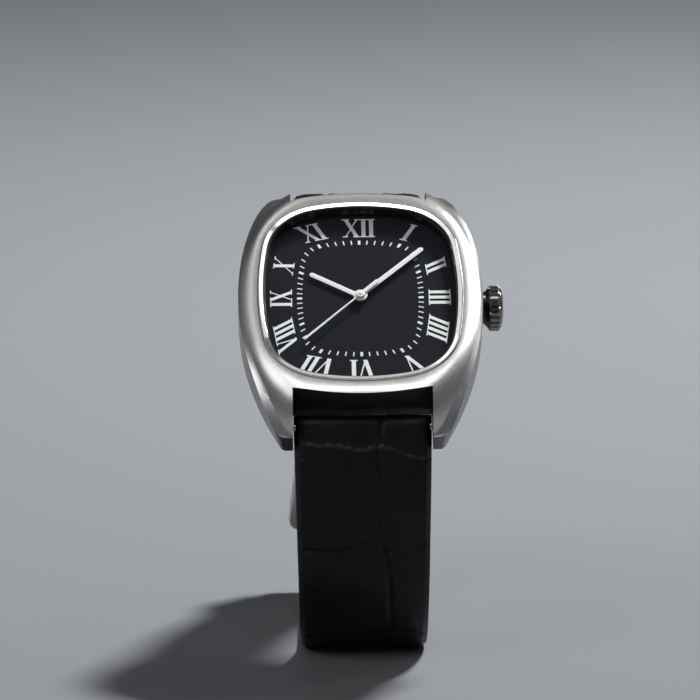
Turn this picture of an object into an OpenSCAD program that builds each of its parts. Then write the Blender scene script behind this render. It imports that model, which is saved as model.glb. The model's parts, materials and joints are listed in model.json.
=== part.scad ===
// Wristwatch with a cushion-shaped steel case, standing on its buckled leather strap.
// The head is drawn in its own axes: origin at the middle of the dial face,
// +X to 3 o'clock, +Y to 12 o'clock, +Z out through the crystal. place_head() leans it back.

/* [Case] */
// Width of the case from side to side, without the crown
case_w = 39; // [38.2:0.1:41]
// Length of the case body between the lugs, over its curved ends
body_l = 42.4; // [41.6:0.1:43.2]
// How far the lugs reach past each end of the body
lug_reach = 4.3; // [3.9:0.1:5]
// Width of a lug at its tip; the sides of the case run in one long arc from tip to tip
lug_tip_w = 1.67; // [1.3:0.01:2.2]
// Width of a lug's upper face at its tip
lug_top_w = 0.55; // [0.4:0.05:0.9]
// Radius of the curved end of the body between two lugs
body_end_r = 44; // [40:1:60]
// Gap between a lug and the strap's edge
lug_clearance = 0.1; // [0.1:0.01:0.3]
// Height of the case beside the polished ring, above the dial
case_top = 1.9; // [1.8:0.05:2]
// Height of the shoulder above the dial, halfway along the side
shoulder_rise = 1; // [0.7:0.1:1.2]
// Depth of the top of a lug tip below the dial
lug_top_drop = 3.9; // [3.2:0.1:4.3]
// Depth of the bottom of a lug tip below the dial
lug_bottom_drop = 7.2; // [6.8:0.1:7.6]
// Depth of the underside of the body below the dial
body_bottom_drop = 5.8; // [5.7:0.05:6]

/* [Crystal and ring] */
// Width of the opening inside the polished ring
opening_w = 31.1; // [30:0.1:31.6]
// Height of the opening inside the polished ring
opening_h = 36.2; // [35:0.1:36.8]
// Radius of the long sides of the opening
opening_side_r = 61.5; // [55:0.5:80]
// Radius of the ends of the opening
opening_end_r = 34.8; // [32:0.2:42]
// Radius of the corners of the opening
opening_corner_r = 9.4; // [8:0.1:10.5]
// Width of the polished ring
ring_w = 0.85; // [0.7:0.01:1]
// How far the polished ring stands above the case
ring_proud = 0.25; // [0.1:0.05:0.4]
// Width of the crystal's gasket
gasket_w = 0.2; // [0.15:0.01:0.25]
// Height of the crystal's underside above the dial
crystal_floor = 1.4; // [1.35:0.01:1.5]
// Thickness of the crystal at its edge
crystal_edge_t = 0.8; // [0.7:0.05:1]
// How far the middle of the crystal rises above its edge
crystal_dome = 0.4; // [0.2:0.05:0.6]

/* [Dial and hands] */
// Thickness of the dial
dial_t = 0.4; // [0.35:0.01:0.45]
// Thickness of the printed figures and ticks
print_t = 0.05; // [0.03:0.01:0.08]
// Gap between the figures and the edge of the opening
figure_edge = 1.15; // [1.1:0.05:1.6]
// Gap between the figures and the middle of the minute ticks
figure_gap = 1.2; // [1:0.05:1.5]
// Length of a minute tick
tick_l = 0.85; // [0.6:0.05:1]
// Width of a minute tick
tick_w = 0.2; // [0.15:0.01:0.26]
// Width of every fifth tick
hour_tick_w = 0.42; // [0.34:0.01:0.5]
// Height of the XII and VI figures
figure_h = 3.9; // [3.3:0.1:4]
// Height of the III and IX figures
side_figure_h = 3.5; // [3:0.05:3.55]
// Gap between the side of the opening and the minute hand's tip as it passes
hand_margin = 1.35; // [1:0.05:3]
// How much shorter than the minute hand the second hand is
second_hand_short = 1.2; // [0:0.1:3]
// How much shorter than the minute hand the hour hand is
hour_hand_short = 4.8; // [4:0.1:7]
// Width of the hour and minute hands
hand_w = 0.85; // [0.6:0.05:1]
// Thickness of a hand
hand_t = 0.15; // [0.1:0.01:0.17]
// Where the hour hand points, in degrees clockwise from XII
hour_angle = 301.5; // [0:0.5:360]
// Where the minute hand points
minute_angle = 45.5; // [0:0.5:360]
// Where the second hand points
second_angle = 224; // [0:0.5:360]

/* [Movement] */
// Width of the movement
movement_w = 15.3; // [15:0.1:16.5]
// Length of the movement
movement_l = 17.8; // [17.6:0.1:19]
// Diameter of the button cell
cell_d = 6.8; // [6:0.1:6.9]
// Depth of the stem's axis below the dial
stem_drop = 2.8; // [2.76:0.01:2.9]

/* [Crown] */
// Diameter of the crown over its flutes
crown_d = 7.3; // [6.4:0.1:7.6]
// Length of the fluted band
crown_band = 1.6; // [1.4:0.1:2]
// Length of the cone between the case and the band
crown_neck = 0.95; // [0.8:0.05:1.2]
// Rise of the crown's domed end
crown_dome = 0.75; // [0.5:0.05:1]
// Number of flutes
flute_count = 24; // [18:1:28]

/* [Strap] */
// Width of the strap between the lugs
strap_w = 21.8; // [19:0.1:22.2]
// How much narrower the strap is at the buckle
strap_taper = 3.8; // [3:0.1:5]
// Thickness of the strap at the lugs
strap_t = 3.8; // [3.4:0.1:4]
// Thickness of the strap at the buckle
strap_end_t = 2.3; // [2.1:0.05:2.4]
// Thickness of the strap's lining
lining_t = 0.8; // [0.7:0.05:1]
// How far the long strap runs past the buckle bar
tail_l = 27; // [25:0.5:30]
// Diameter of a strap hole
hole_d = 1.7; // [1.5:0.05:1.9]
// Distance from one strap hole to the next
hole_pitch = 6.5; // [5.5:0.1:7]
// Length of a keeper along the strap
keeper_l = 5; // [4:0.1:5.5]
// Wall of a keeper
keeper_t = 1; // [0.8:0.05:1.2]

/* [Buckle] */
// Distance from the buckle bar to the middle of the frame's front bar
buckle_l = 9.6; // [9.2:0.1:10.2]
// Width of one arm of the frame, and of its front bar
buckle_arm = 2.2; // [1.8:0.1:2.6]
// How much wider the frame is at its front bar than at its pin
buckle_flare = 2.2; // [1:0.1:3]
// Height of the buckle bar above the ground
pin_height = 20.5; // [19:0.5:22]

/* [Stance] */
// Angle between the way the dial faces and the ground
dial_pitch = 51.4; // [48:0.1:54]
// Height of the middle of the dial above the ground
dial_height = 56; // [54:0.5:60]
// How far the strap bulges forward of the middle of the dial
front_bulge = 16; // [15:0.1:18]
// How far the strap bulges back of the middle of the dial
back_bulge = 40; // [37:0.5:44]
// Start of the flat that the strap stands on, in front of the middle of the dial
rest_front = 4; // [2:0.5:6]
// End of that flat, behind the middle of the dial
rest_back = 17; // [15:0.5:19]

/* [Hidden] */

fit = 0.05; // clearance of a running or sliding fit between rigid pieces
soft_fit = 0.25; // clearance round a soft piece
cut = 1; // how far a cutting shape runs past what it cuts
round_fn = 48;
steps = 8; // points along each arc of a cushion outline

// Corner arc centre of a cushion outline: where the side and end arcs, drawn in by the corner
// radius, cross. o is [half width, half height, side radius, end radius, corner radius].
function corner_centre(o) =
  let (
    side_x = o[0] - o[2],
    end_y = o[1] - o[3],
    ra = o[2] - o[4],
    rb = o[3] - o[4],
    d = norm([side_x, end_y]),
    along = (ra * ra - rb * rb + d * d) / (2 * d),
    off = sqrt(ra * ra - along * along),
    ux = -side_x / d,
    uy = end_y / d
  )
  [side_x + along * ux - off * uy, along * uy + off * ux];

function arc(c, r, a0, a1, n) = [for (i = [0:n - 1]) let (a = a0 + (a1 - a0) * i / n) c + r * [cos(a), sin(a)]];

// First quarter of the outline, from 3 o'clock to 12 o'clock, without its last point. n holds the
// points along the side, corner and end arcs.
function cushion_quarter(o, n) =
  let (
    c = corner_centre(o),
    a_side = atan2(c[1], c[0] - o[0] + o[2]),
    a_end = atan2(c[1] - o[1] + o[3], c[0])
  )
  concat(
    arc([o[0] - o[2], 0], o[2], 0, a_side, n[0]),
    arc(c, o[4], a_side, a_end, n[1]),
    arc([0, o[1] - o[3]], o[3], a_end, 90, n[2])
  );

// Whole outline, anticlockwise from 3 o'clock
function cushion(o, counts = [steps, steps, steps]) =
  let (q = cushion_quarter(o, counts), n = len(q))
  concat(
    q,
    [[0, o[1]]],
    [for (i = [n - 1:-1:0]) [-q[i][0], q[i][1]]],
    [for (i = [1:n - 1]) [-q[i][0], -q[i][1]]],
    [[0, -o[1]]],
    [for (i = [n - 1:-1:1]) [q[i][0], -q[i][1]]]
  );

// The same outline drawn in or out by d
function grown(o, d) = [for (v = o) v + d];

// Distance from the middle to the outline along a ray at angle a, clockwise from 12 o'clock
function ray_hit(c, r, u) = let (b = c * u) b + sqrt(b * b - c * c + r * r);
function outline_reach(o, a) =
  let (
    u = [abs(sin(a)), abs(cos(a))],
    c = corner_centre(o),
    side = ray_hit([o[0] - o[2], 0], o[2], u),
    end = ray_hit([0, o[1] - o[3]], o[3], u),
    side_top = o[2] * sin(atan2(c[1], c[0] - o[0] + o[2])),
    end_side = o[3] * cos(atan2(c[1] - o[1] + o[3], c[0]))
  )
  side * u[1] <= side_top ? side : end * u[0] <= end_side ? end : ray_hit(c, o[4], u);
function outline_point(o, a) = outline_reach(o, a) * [sin(a), cos(a)];
// Where the rays through the points of line q meet the outline
function on_rays(o, q) = [for (p = q) outline_point(o, atan2(p[0], p[1]))];
// Clockwise direction of the outline there
function outline_dir(o, a) =
  let (d = outline_point(o, a + 1) - outline_point(o, a - 1))
  d / norm(d);

opening = [opening_w / 2, opening_h / 2, opening_side_r, opening_end_r, opening_corner_r];
// Line through the middles of the figures, and the line of the minute ticks inside it
figure_side_r = 50;
figure_end_r = 31;
figure_corner_r = 5.5;
track_side_r = 46.7;
track_end_r = 29.6;
track_corner_r = 3.75;
figure_line = [
  opening_w / 2 - figure_edge - side_figure_h / 2,
  opening_h / 2 - figure_edge - figure_h / 2,
  figure_side_r,
  figure_end_r,
  figure_corner_r
];
track = [
  figure_line[0] - side_figure_h / 2 - figure_gap,
  figure_line[1] - figure_h / 2 - figure_gap,
  track_side_r,
  track_end_r,
  track_corner_r
];
minute_hand_l = opening_w / 2 - hand_margin;
second_hand_l = minute_hand_l - second_hand_short;
hour_hand_l = minute_hand_l - hour_hand_short;

ring_inner_drop = 0.2; // how far the ring's inner edge lies below its top
ring_slope_w = 0.28;
ring_outer_edge = 0.15;
rehaut_w = 0.35; // wall between the dial and the crystal, which rests on it
seat = ring_w + fit; // the ring's seat, measured out from the opening
end_y = body_l / 2;
tip_y = end_y + lug_reach;
side_x = case_w / 2;
lug_gap = strap_w + 2 * lug_clearance;
side_fall = side_x - lug_gap / 2 - lug_tip_w; // how far the side's arc comes in by the lug's tip
case_side_r = (side_fall * side_fall + tip_y * tip_y) / (2 * side_fall);
shoulder_in = 0.3; // the side wall leans in by this much up to the shoulder
edge_drop = 0.35; // height of the chamfer round the shoulder
edge_fuller = 7; // the chamfer's foot has a flatter side and rounder lug corners than the underside
edge_corner_r = 3;
tip_r = 2000; // the lug tips end in a nearly straight line
plan = [side_x, tip_y, case_side_r, tip_r, 1];
// The shoulder's outline, which runs to a narrower end on each lug
shoulder_fall = side_x - shoulder_in - lug_gap / 2 - lug_top_w;
shoulder_side_r = (shoulder_fall * shoulder_fall + tip_y * tip_y) / (2 * shoulder_fall);
shoulder_plan = [side_x - shoulder_in, tip_y, shoulder_side_r, tip_r, 0.5];
edge_plan = [side_x, tip_y, case_side_r + edge_fuller, tip_r, edge_corner_r];
lug_curve = 4; // how late the lugs turn down toward their tips
dome_power = 2.2;
dome_rings = 7;
end_centre_y = end_y - body_end_r;
wall_in = 2.2; // how far the foot of the wall between the lugs lies inside the body's end
wall_y = end_y - wall_in;
wall_foot_z = -6.1;
wall_slope = 2.3;

bar_in = 3.2; // from a lug's tip in to its spring bar
bar_y = tip_y - bar_in;
bar_drop = 5.5;
bar_r = 0.75;
bar_tip_r = 0.4;
bar_tip_l = 0.9; // how far a spring bar's tip reaches into its hole

back_flange_w = 1.1; // the back's flange round the opening
back_flange_t = 0.7;
back_drop = body_bottom_drop + back_flange_t + 0.5; // outside of the back, below the dial
plug_t = 0.5;
groove_in = 0.65; // the back gasket's groove, from the opening in
groove_t = 0.45;
back_screw_r = 0.4;
back_screw_l = 1.4;
back_screw_out = 0.55;

holder_bottom = body_bottom_drop - plug_t - fit;
main_top = 1.3;
main_bottom = 2.2;
bridge_top = 3.95;
bridge_bottom = 4.4;
gear_t = 0.2;
tooth_gap = 0.15; // teeth stop short of the pitch circle by this share of the module
pivot_r = 0.12;

// Gear train: radii at the pitch line and tooth counts
centre_distance = 2.7;
second_pinion_r = centre_distance / 8.5;
third_wheel_r = centre_distance - second_pinion_r;
third_pinion_r = centre_distance / 9;
center_wheel_r = centre_distance - third_pinion_r;
fifth_distance = 2.4;
fifth_pinion_r = fifth_distance / 6;
second_wheel_r = fifth_distance - fifth_pinion_r;
rotor_distance = 2.45;
rotor_pinion_r = rotor_distance / 7;
fifth_wheel_r = rotor_distance - rotor_pinion_r;
works_distance = 2.2;
cannon_r = works_distance / 4;
minute_wheel_r = works_distance - cannon_r;
minute_pinion_r = works_distance / 5;
hour_wheel_r = works_distance - minute_pinion_r;
third_at = centre_distance * [cos(225), sin(225)];
fifth_at = fifth_distance * [cos(85), sin(85)];
rotor_at = fifth_at + rotor_distance * [cos(160), sin(160)];
works_at = works_distance * [cos(35), sin(35)];
rotor_r = 0.75;
second_arbor_r = 0.12;
center_tube_r = 0.36;
hour_tube_r = 0.62;
cell_at = [4, -4.95];
coil_x = -6.4;
coil_l = 9.6;
foot_at = [6.2, 7.2];
screw_spots = [[-6.2, 7.4], [6.5, 2.6], [-3.4, -7.6]];

// Heights of the hands' undersides above the dial
hour_hand_z = 0.35;
minute_hand_z = 0.62;
second_hand_z = 0.89;
hour_hub_r = 1.05;
minute_hub_r = 0.9;
second_hub_r = 0.6;
second_hub_rise = 0.17; // how far the second hand's hub stands above it
needle_w = 0.26; // width of the second hand beside its hub, and at its tip
needle_tip_w = 0.4;
tail_bar_w = 0.66; // counterweight of the second hand
tail_bar_l = 3.4;
tail_reach = 4.1;

crown_face = side_x + 0.1; // the crown starts here when it is pushed in
crown_r = crown_d / 2;
crown_neck_r = 2.55;
tube_r = 1;
tube_bore_r = 0.6;
stem_r = 0.5;
thread_r = 0.35;
tube_end = crown_face + 1.85;
crown_bore_r = 1.45;
crown_bore_l = 2.1;
thread_end = crown_bore_l + 0.7;
crown_end = crown_face + crown_neck + crown_band + crown_dome;

strap_end_w = strap_w - strap_taper;
roll_r = strap_t / 2; // the strap's fold round a lug's spring bar
pin_roll_r = 1.35; // its fold round the buckle bar

// Spring bars in the plane of the strap, from the middle of the dial
function in_side_view(y, z) = [
  y * sin(dial_pitch) - z * cos(dial_pitch),
  dial_height + y * cos(dial_pitch) + z * sin(dial_pitch)
];
lower_bar = in_side_view(-bar_y, -bar_drop);
upper_bar = in_side_view(bar_y, -bar_drop);

// The strap's middle line in side view, from the lower bar round to the upper bar
function bezier(p, t) =
  pow(1 - t, 3) * p[0] + 3 * t * pow(1 - t, 2) * p[1] + 3 * t * t * (1 - t) * p[2] + pow(t, 3) * p[3];
bend = 0.552; // handle length that makes a cubic follow a quarter ellipse
rest_z = strap_end_t / 2;
front_z = 17.5;
back_z = 36;
front_top = [-front_bulge, front_z];
rest_a = [-rest_front, rest_z];
rest_b = [rest_back, rest_z];
back_top = [back_bulge, back_z];
leave_angle = 39; // the strap leaves the upper lugs rising at this angle
lower_handle = 7; // how far the strap keeps its direction at the lower and upper bars
upper_handle = 12;
lower_dir = [-0.34, -0.94];
segments = [
  [lower_bar, lower_bar + lower_handle * lower_dir, front_top + [0, 8], front_top],
  [front_top, front_top - [0, bend * (front_z - rest_z)], rest_a - [bend * (front_bulge - rest_front), 0], rest_a],
  [rest_a, rest_a + [4, 0], rest_b - [4, 0], rest_b],
  [rest_b, rest_b + [bend * (back_bulge - rest_back), 0], back_top - [0, bend * (back_z - rest_z)], back_top],
  [back_top, back_top + [0, 14], upper_bar + upper_handle * [cos(leave_angle), sin(leave_angle)], upper_bar]
];
samples = 24;
route = concat([for (p = segments, i = [0:samples - 1]) bezier(p, i / samples)], [upper_bar]);
function running_length(p, i = 0, sum = 0, out = []) =
  i == len(p) ? out
  : let (s = i == 0 ? 0 : sum + norm(p[i] - p[i - 1])) running_length(p, i + 1, s, concat(out, [s]));
route_s = running_length(route);
route_l = route_s[len(route_s) - 1];
table_y = [for (i = [0:len(route) - 1]) [route_s[i], route[i][0]]];
table_z = [for (i = [0:len(route) - 1]) [route_s[i], route[i][1]]];
function on_route(s) = [lookup(s, table_y), lookup(s, table_z)];
function route_dir(s) =
  let (h = 0.6, a = on_route(min(s, route_l - h) - h), b = on_route(max(s, h) + h))
  (b - a) / norm(b - a);
// The route runs on straight past both bars, for the folds round them
function route_at(s) = on_route(s) + (s - min(max(s, 0), route_l)) * route_dir(s);
// Outward normal of the loop, in side view
function route_out(s) = let (t = route_dir(s)) [t[1], -t[0]];

rest_start_s = route_s[2 * samples];
// Place of the buckle bar along the route
pin_s = lookup(pin_height, [for (i = [3 * samples:4 * samples]) [route[i][1], route_s[i]]]);
tail_s = pin_s + tail_l;
function ease(x) = let (c = min(max(x, 0), 1)) c * c * (3 - 2 * c);
taper_stop = 8; // the long strap reaches its end width this far before the buckle bar
function long_w(s) = strap_w + (strap_end_w - strap_w) * min(s / (pin_s - taper_stop), 1);
function long_t(s) = strap_t + (strap_end_t - strap_t) * ease(s / rest_start_s);
function short_t(s) = strap_t + (strap_end_t + 0.2 - strap_t) * ease((route_l - s) / (route_l - pin_s));
function short_w(s) = strap_end_w + (strap_w - strap_end_w) * (s - pin_s) / (route_l - pin_s);
pin_gap = pin_roll_r + soft_fit + strap_end_t / 2; // long strap's middle line outside the bar
function stacked(s) = short_t(s) / 2 + soft_fit + long_t(s) / 2;
// How far the long strap's middle line lies outside the route
climb = 13; // length over which the long strap climbs to pass over the bar
function long_out(s) =
  s < pin_s ? pin_gap * ease((s - pin_s + climb) / (climb - 1.5))
  : max(stacked(s), pin_gap - (s - pin_s) * 0.1);

tip_round = 7; // length of the long strap's rounded tip
function tail_w(s) =
  let (x = max(s - tail_s + tip_round, 0) / (tip_round + 0.5))
  long_w(s) * sqrt(1 - x * x);

keeper_fixed_at = 8.5; // past the buckle bar
keeper_free_at = 17.5;
keeper_fixed_s = pin_s + keeper_fixed_at;
keeper_free_s = pin_s + keeper_free_at;
keeper_travel = 2;
keeper_slack = 0.45;

buckle_t = 1.7;
buckle_inner = strap_end_w + 0.9;
buckle_out = long_out(pin_s - buckle_l) + strap_end_t / 2 + soft_fit + buckle_t / 2;
tongue_w = 1.2;
tongue_t = 0.7;
tongue_gap = 2.6; // slot in the strap's fold that the tongue turns in
used_hole_at = 1.9; // the hole in use lies this far short of the buckle bar
used_hole_s = pin_s - used_hole_at;
used_hole_l = 2; // the hole in use is drawn out along the strap by this much

// Head's place: the part's origin is under the middle of its outline, which ends at the
// lower lugs or the strap's bulge in front, and at a corner of the free keeper behind
keeper_high = long_out(keeper_free_s) + strap_end_t / 2 + keeper_slack + keeper_t;
strap_front = front_bulge + long_t(route_s[samples]) / 2;
lug_front = -in_side_view(shoulder_in - tip_y, shoulder_z(tip_y - shoulder_in))[0];
front_reach = max(strap_front, lug_front);
back_reach = route_at(keeper_free_s)[0] + keeper_high * route_out(keeper_free_s)[0]
  + keeper_l / 2 * abs(route_dir(keeper_free_s)[0]);
head_x = -(crown_end - side_x) / 2;
head_y = (front_reach - back_reach) / 2;

module place_head() {
  translate([head_x, head_y, dial_height]) rotate([90 - dial_pitch, 0, 0]) children();
}

// Places children at length s along the strap, with +Y along the strap and +Z out of the loop
module place_strap(s, out = 0) {
  p = route_at(s) + out * route_out(s);
  t = route_dir(s);
  translate([head_x, head_y + p[0], p[1]]) rotate([atan2(t[1], t[0]), 0, 0]) mirror([0, 0, 1]) children();
}

module cushion_plate(o, z0, z1) {
  translate([0, 0, z0]) linear_extrude(height = z1 - z0) polygon(cushion(o));
}

module cushion_band(inner, outer, z0, z1) {
  difference() {
    cushion_plate(outer, z0, z1);
    cushion_plate(inner, z0 - cut, z1 + cut);
  }
}

// Skin through rings of equal point count, anticlockwise seen from the first ring's side
function skin_faces(n, m) = [
  for (k = [0:m - 2], i = [0:n - 1])
    let (j = (i + 1) % n)
    each [[k * n + i, k * n + j, (k + 1) * n + j], [k * n + i, (k + 1) * n + j, (k + 1) * n + i]]
];

module skinned(rings) {
  n = len(rings[0]);
  m = len(rings);
  caps = [[for (i = [n - 1:-1:0]) i], [for (i = [0:n - 1]) (m - 1) * n + i]];
  polyhedron(points = [for (r = rings) each r], faces = concat(skin_faces(n, m), caps), convexity = 8);
}

// Closed band round the opening whose section is a clockwise list of [offset, height]
module section_band(o, section) {
  n = len(cushion(o));
  m = len(section);
  closing = [
    for (i = [0:n - 1])
      let (j = (i + 1) % n, k = (m - 1) * n)
      each [[k + i, k + j, j], [k + i, j, i]]
  ];
  polyhedron(
    points = [for (p = section) for (q = cushion(grown(o, p[0]))) [q[0], q[1], p[1]]],
    faces = concat(skin_faces(n, m), closing),
    convexity = 8
  );
}

module x_cylinder(r, x0, x1) {
  translate([x0, 0, 0]) rotate([0, 90, 0]) cylinder(r = r, h = x1 - x0, $fn = round_fn);
}

// Heights of the shoulder and of the underside at distance y from the middle
function shoulder_z(y) = shoulder_rise - (lug_top_drop + shoulder_rise) * pow(abs(y) / tip_y, lug_curve);
function under_z(y) = -body_bottom_drop - (lug_bottom_drop - body_bottom_drop) * pow(abs(y) / tip_y, 2.5);
function mix(a, b, t) = a + (b - a) * t;

case_counts = [16, 5, 8]; // points along the side, the lug's corner and the end
case_shoulder = cushion(shoulder_plan, case_counts);
case_edge = cushion(edge_plan, case_counts);
case_plan = cushion(plan, case_counts);
case_inner = on_rays(grown(opening, seat + fit), case_shoulder);
case_under = on_rays(grown(opening, back_flange_w + 0.3), case_plan);

function dome_ring(t) = [
  for (i = [0:len(case_inner) - 1])
    let (
      p = mix(case_inner[i], case_shoulder[i], t),
      z = mix(case_top, shoulder_z(case_shoulder[i][1]), pow(t, dome_power))
    )
    [p[0], p[1], z]
];

module case_blank() {
  skinned(concat(
    [for (k = [0:dome_rings]) dome_ring(k / dome_rings)],
    [[for (p = case_edge) [p[0], p[1], shoulder_z(p[1]) - edge_drop]]],
    [[for (p = case_plan) [p[0], p[1], under_z(p[1])]]],
    [[for (p = case_under) [p[0], p[1], -body_bottom_drop]]]
  ));
}

// Room between one pair of lugs, with the body's curved end and the undercut below it
module lug_slot() {
  difference() {
    translate([-lug_gap / 2, wall_y, -lug_bottom_drop - cut])
      cube([lug_gap, tip_y, lug_bottom_drop + case_top + 2 * cut]);
    intersection() {
      translate([0, end_centre_y, -lug_bottom_drop - 2 * cut])
        cylinder(r = body_end_r, h = lug_bottom_drop + case_top + 4 * cut, $fn = 96);
      translate([-lug_gap / 2 - cut, 0, 0]) rotate([90, 0, 90]) linear_extrude(height = lug_gap + 2 * cut)
        polygon([
          [0, case_top + 2 * cut],
          [tip_y, case_top + 2 * cut],
          [tip_y, wall_foot_z + (tip_y - wall_y) * wall_slope],
          [wall_y, wall_foot_z],
          [0, wall_foot_z]
        ]);
    }
  }
}

module back_screw_places() {
  c = corner_centre(opening);
  reach = opening_corner_r + back_screw_out;
  for (sx = [-1, 1], sy = [-1, 1])
    translate([sx * (c[0] + reach * cos(45)), sy * (c[1] + reach * sin(45)), 0]) children();
}

module case_middle() {
  color("silver") place_head() difference() {
    case_blank();
    for (a = [0, 180]) rotate(a) lug_slot();
    cushion_plate(opening, -back_drop - cut, case_top + cut);
    cushion_plate(grown(opening, seat), crystal_floor, case_top + cut);
    translate([0, 0, -stem_drop]) x_cylinder(tube_r, opening_w / 2 - cut, side_x + cut);
    for (sy = [-1, 1], sx = [-1, 1])
      translate([0, sy * bar_y, -bar_drop]) mirror([sx < 0 ? 1 : 0, 0, 0])
        x_cylinder(bar_tip_r + fit, lug_gap / 2 - 0.1, lug_gap / 2 + bar_tip_l + 0.2);
    back_screw_places() translate([0, 0, -body_bottom_drop - cut])
      cylinder(r = back_screw_r, h = back_screw_l + cut, $fn = round_fn);
  }
}

module bezel_ring() {
  top = case_top + ring_proud;
  color("gainsboro") place_head() section_band(opening, [
    [ring_w, case_top],
    [ring_w, crystal_floor],
    [0, crystal_floor],
    [0, top - ring_inner_drop],
    [ring_slope_w, top],
    [ring_w - ring_outer_edge, top]
  ]);
}

module crystal() {
  o = grown(opening, -gasket_w);
  base = cushion(o);
  edge = crystal_floor + crystal_edge_t;
  color([0.8, 0.88, 0.9, 0.35]) place_head() skinned(concat(
    [for (k = [1:5]) let (t = k / 5) [for (p = base) [p[0] * t, p[1] * t, edge + crystal_dome * (1 - t * t)]]],
    [[for (p = base) [p[0], p[1], crystal_floor]]]
  ));
}

module crystal_gasket() {
  color("black") place_head() cushion_band(grown(opening, -gasket_w), opening, crystal_floor, case_top);
}

module rehaut_ring() {
  color("#15151a") place_head() section_band(opening, [
    [-fit, crystal_floor],
    [-fit, 0],
    [-rehaut_w - 0.1, 0],
    [-rehaut_w, crystal_floor]
  ]);
}

module dial_plate() {
  color("#17171b") place_head() {
    difference() {
      cushion_plate(grown(opening, -fit), -dial_t, 0);
      translate([0, 0, -dial_t - cut]) cylinder(r = hour_tube_r + 0.15, h = dial_t + 2 * cut, $fn = round_fn);
    }
    for (s = [-1, 1]) translate([s * foot_at[0], s * foot_at[1], -main_bottom + 0.2])
      cylinder(r = 0.35, h = main_bottom - 0.2 - dial_t, $fn = 32);
  }
}

// Roman figures, one unit high with their feet on y = 0, as lists of four-cornered strokes
stem_unit = 0.17; // width of a thick stroke
thin_unit = 0.055;
serif_unit = 0.045;
serif_reach = 0.075; // how far a serif runs past its stroke
serif_top = 1 - serif_unit;
i_pitch = 0.315;

function stroke(x0, x1, w) = [[x0 - w / 2, 0], [x0 + w / 2, 0], [x1 + w / 2, 1], [x1 - w / 2, 1]];
function serif(x, y, w) =
  let (r = w / 2 + serif_reach)
  [[x - r, y], [x + r, y], [x + r, y + serif_unit], [x - r, y + serif_unit]];

one_strokes = [stroke(0, 0, stem_unit), serif(0, 0, stem_unit), serif(0, serif_top, stem_unit)];
five_strokes = [
  stroke(0.02, -0.24, stem_unit),
  stroke(0.02, 0.24, thin_unit),
  serif(-0.24, serif_top, stem_unit),
  serif(0.24, serif_top, thin_unit)
];
ten_strokes = [
  stroke(0.24, -0.24, stem_unit),
  stroke(-0.24, 0.24, thin_unit),
  serif(0.24, 0, stem_unit),
  serif(-0.24, 0, thin_unit),
  serif(-0.24, serif_top, stem_unit),
  serif(0.24, serif_top, thin_unit)
];

function letter_strokes(c) = c == "I" ? one_strokes : c == "V" ? five_strokes : ten_strokes;
function letter_widths(s) = [for (c = s) c == "I" ? i_pitch : c == "V" ? 0.66 : 0.7];
function sum_to(v, n) = n <= 0 ? 0 : v[n - 1] + sum_to(v, n - 1);

// All strokes of one figure, its middle at the origin and its feet toward -Y
function figure_strokes(letters) =
  let (w = letter_widths(letters), total = sum_to(w, len(w)))
  [
    for (i = [0:len(letters) - 1])
      for (q = letter_strokes(letters[i]))
        [for (p = q) [p[0] + sum_to(w, i) + w[i] / 2 - total / 2, p[1] - 0.5]]
  ];

// Each figure and the angle of its middle, clockwise from 12 o'clock
figures = [
  ["XII", 0],
  ["I", 30],
  ["II", 61],
  ["III", 90],
  ["IIII", 118.5],
  ["V", 150],
  ["VI", 180],
  ["VII", 206.5],
  ["VIII", 237],
  ["IX", 270],
  ["X", 300],
  ["XI", 331.4]
];

// Strokes point away from the middle of the dial, and serifs follow the figures' line
module hour_figures() {
  color("white") place_head() linear_extrude(height = print_t) for (f = figures) {
    a = f[1];
    h = mix(figure_h, side_figure_h, pow(sin(a), 2));
    middle = outline_point(figure_line, a);
    out = [sin(a), cos(a)];
    along = outline_dir(figure_line, a);
    for (q = figure_strokes(f[0])) polygon([for (p = q) middle + h * (p[0] * along + p[1] * out)]);
  }
}

module minute_track() {
  color("white") place_head() linear_extrude(height = print_t) for (i = [0:59]) {
    w = i % 5 == 0 ? hour_tick_w : tick_w;
    rotate(-6 * i) translate([-w / 2, outline_reach(track, 6 * i) - tick_l / 2]) square([w, tick_l]);
  }
}

// A straight hand along +Y from its hub, with a round end
module hand_blade(l, w, tail) {
  translate([-w / 2, -tail]) square([w, l + tail - w / 2]);
  translate([0, l - w / 2]) circle(d = w, $fn = 24);
}

module hour_hand() {
  color("white") place_head() rotate(-hour_angle) translate([0, 0, hour_hand_z]) difference() {
    linear_extrude(height = hand_t) {
      hand_blade(hour_hand_l, hand_w, 0);
      circle(r = hour_hub_r, $fn = round_fn);
    }
    translate([0, 0, -cut]) cylinder(r = hour_tube_r, h = 2 * cut, $fn = round_fn);
  }
}

module minute_hand() {
  color("white") place_head() rotate(-minute_angle) translate([0, 0, minute_hand_z]) difference() {
    linear_extrude(height = hand_t) {
      hand_blade(minute_hand_l, hand_w, 0);
      circle(r = minute_hub_r, $fn = round_fn);
    }
    translate([0, 0, -cut]) cylinder(r = center_tube_r, h = 2 * cut, $fn = round_fn);
  }
}

module second_hand() {
  color("white") place_head() rotate(-second_angle) translate([0, 0, second_hand_z]) {
    difference() {
      union() {
        linear_extrude(height = hand_t) {
          polygon([
            [-needle_w / 2, 0],
            [needle_w / 2, 0],
            [needle_tip_w / 2, second_hand_l],
            [-needle_tip_w / 2, second_hand_l]
          ]);
          translate([-tail_bar_w / 2, -tail_reach]) square([tail_bar_w, tail_bar_l]);
          translate([-needle_w / 2, -1]) square([needle_w, 1]);
        }
        cylinder(r = second_hub_r, h = hand_t + second_hub_rise, $fn = round_fn);
      }
      translate([0, 0, -cut]) cylinder(r = second_arbor_r, h = cut + hand_t, $fn = 24);
    }
  }
}

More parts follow.
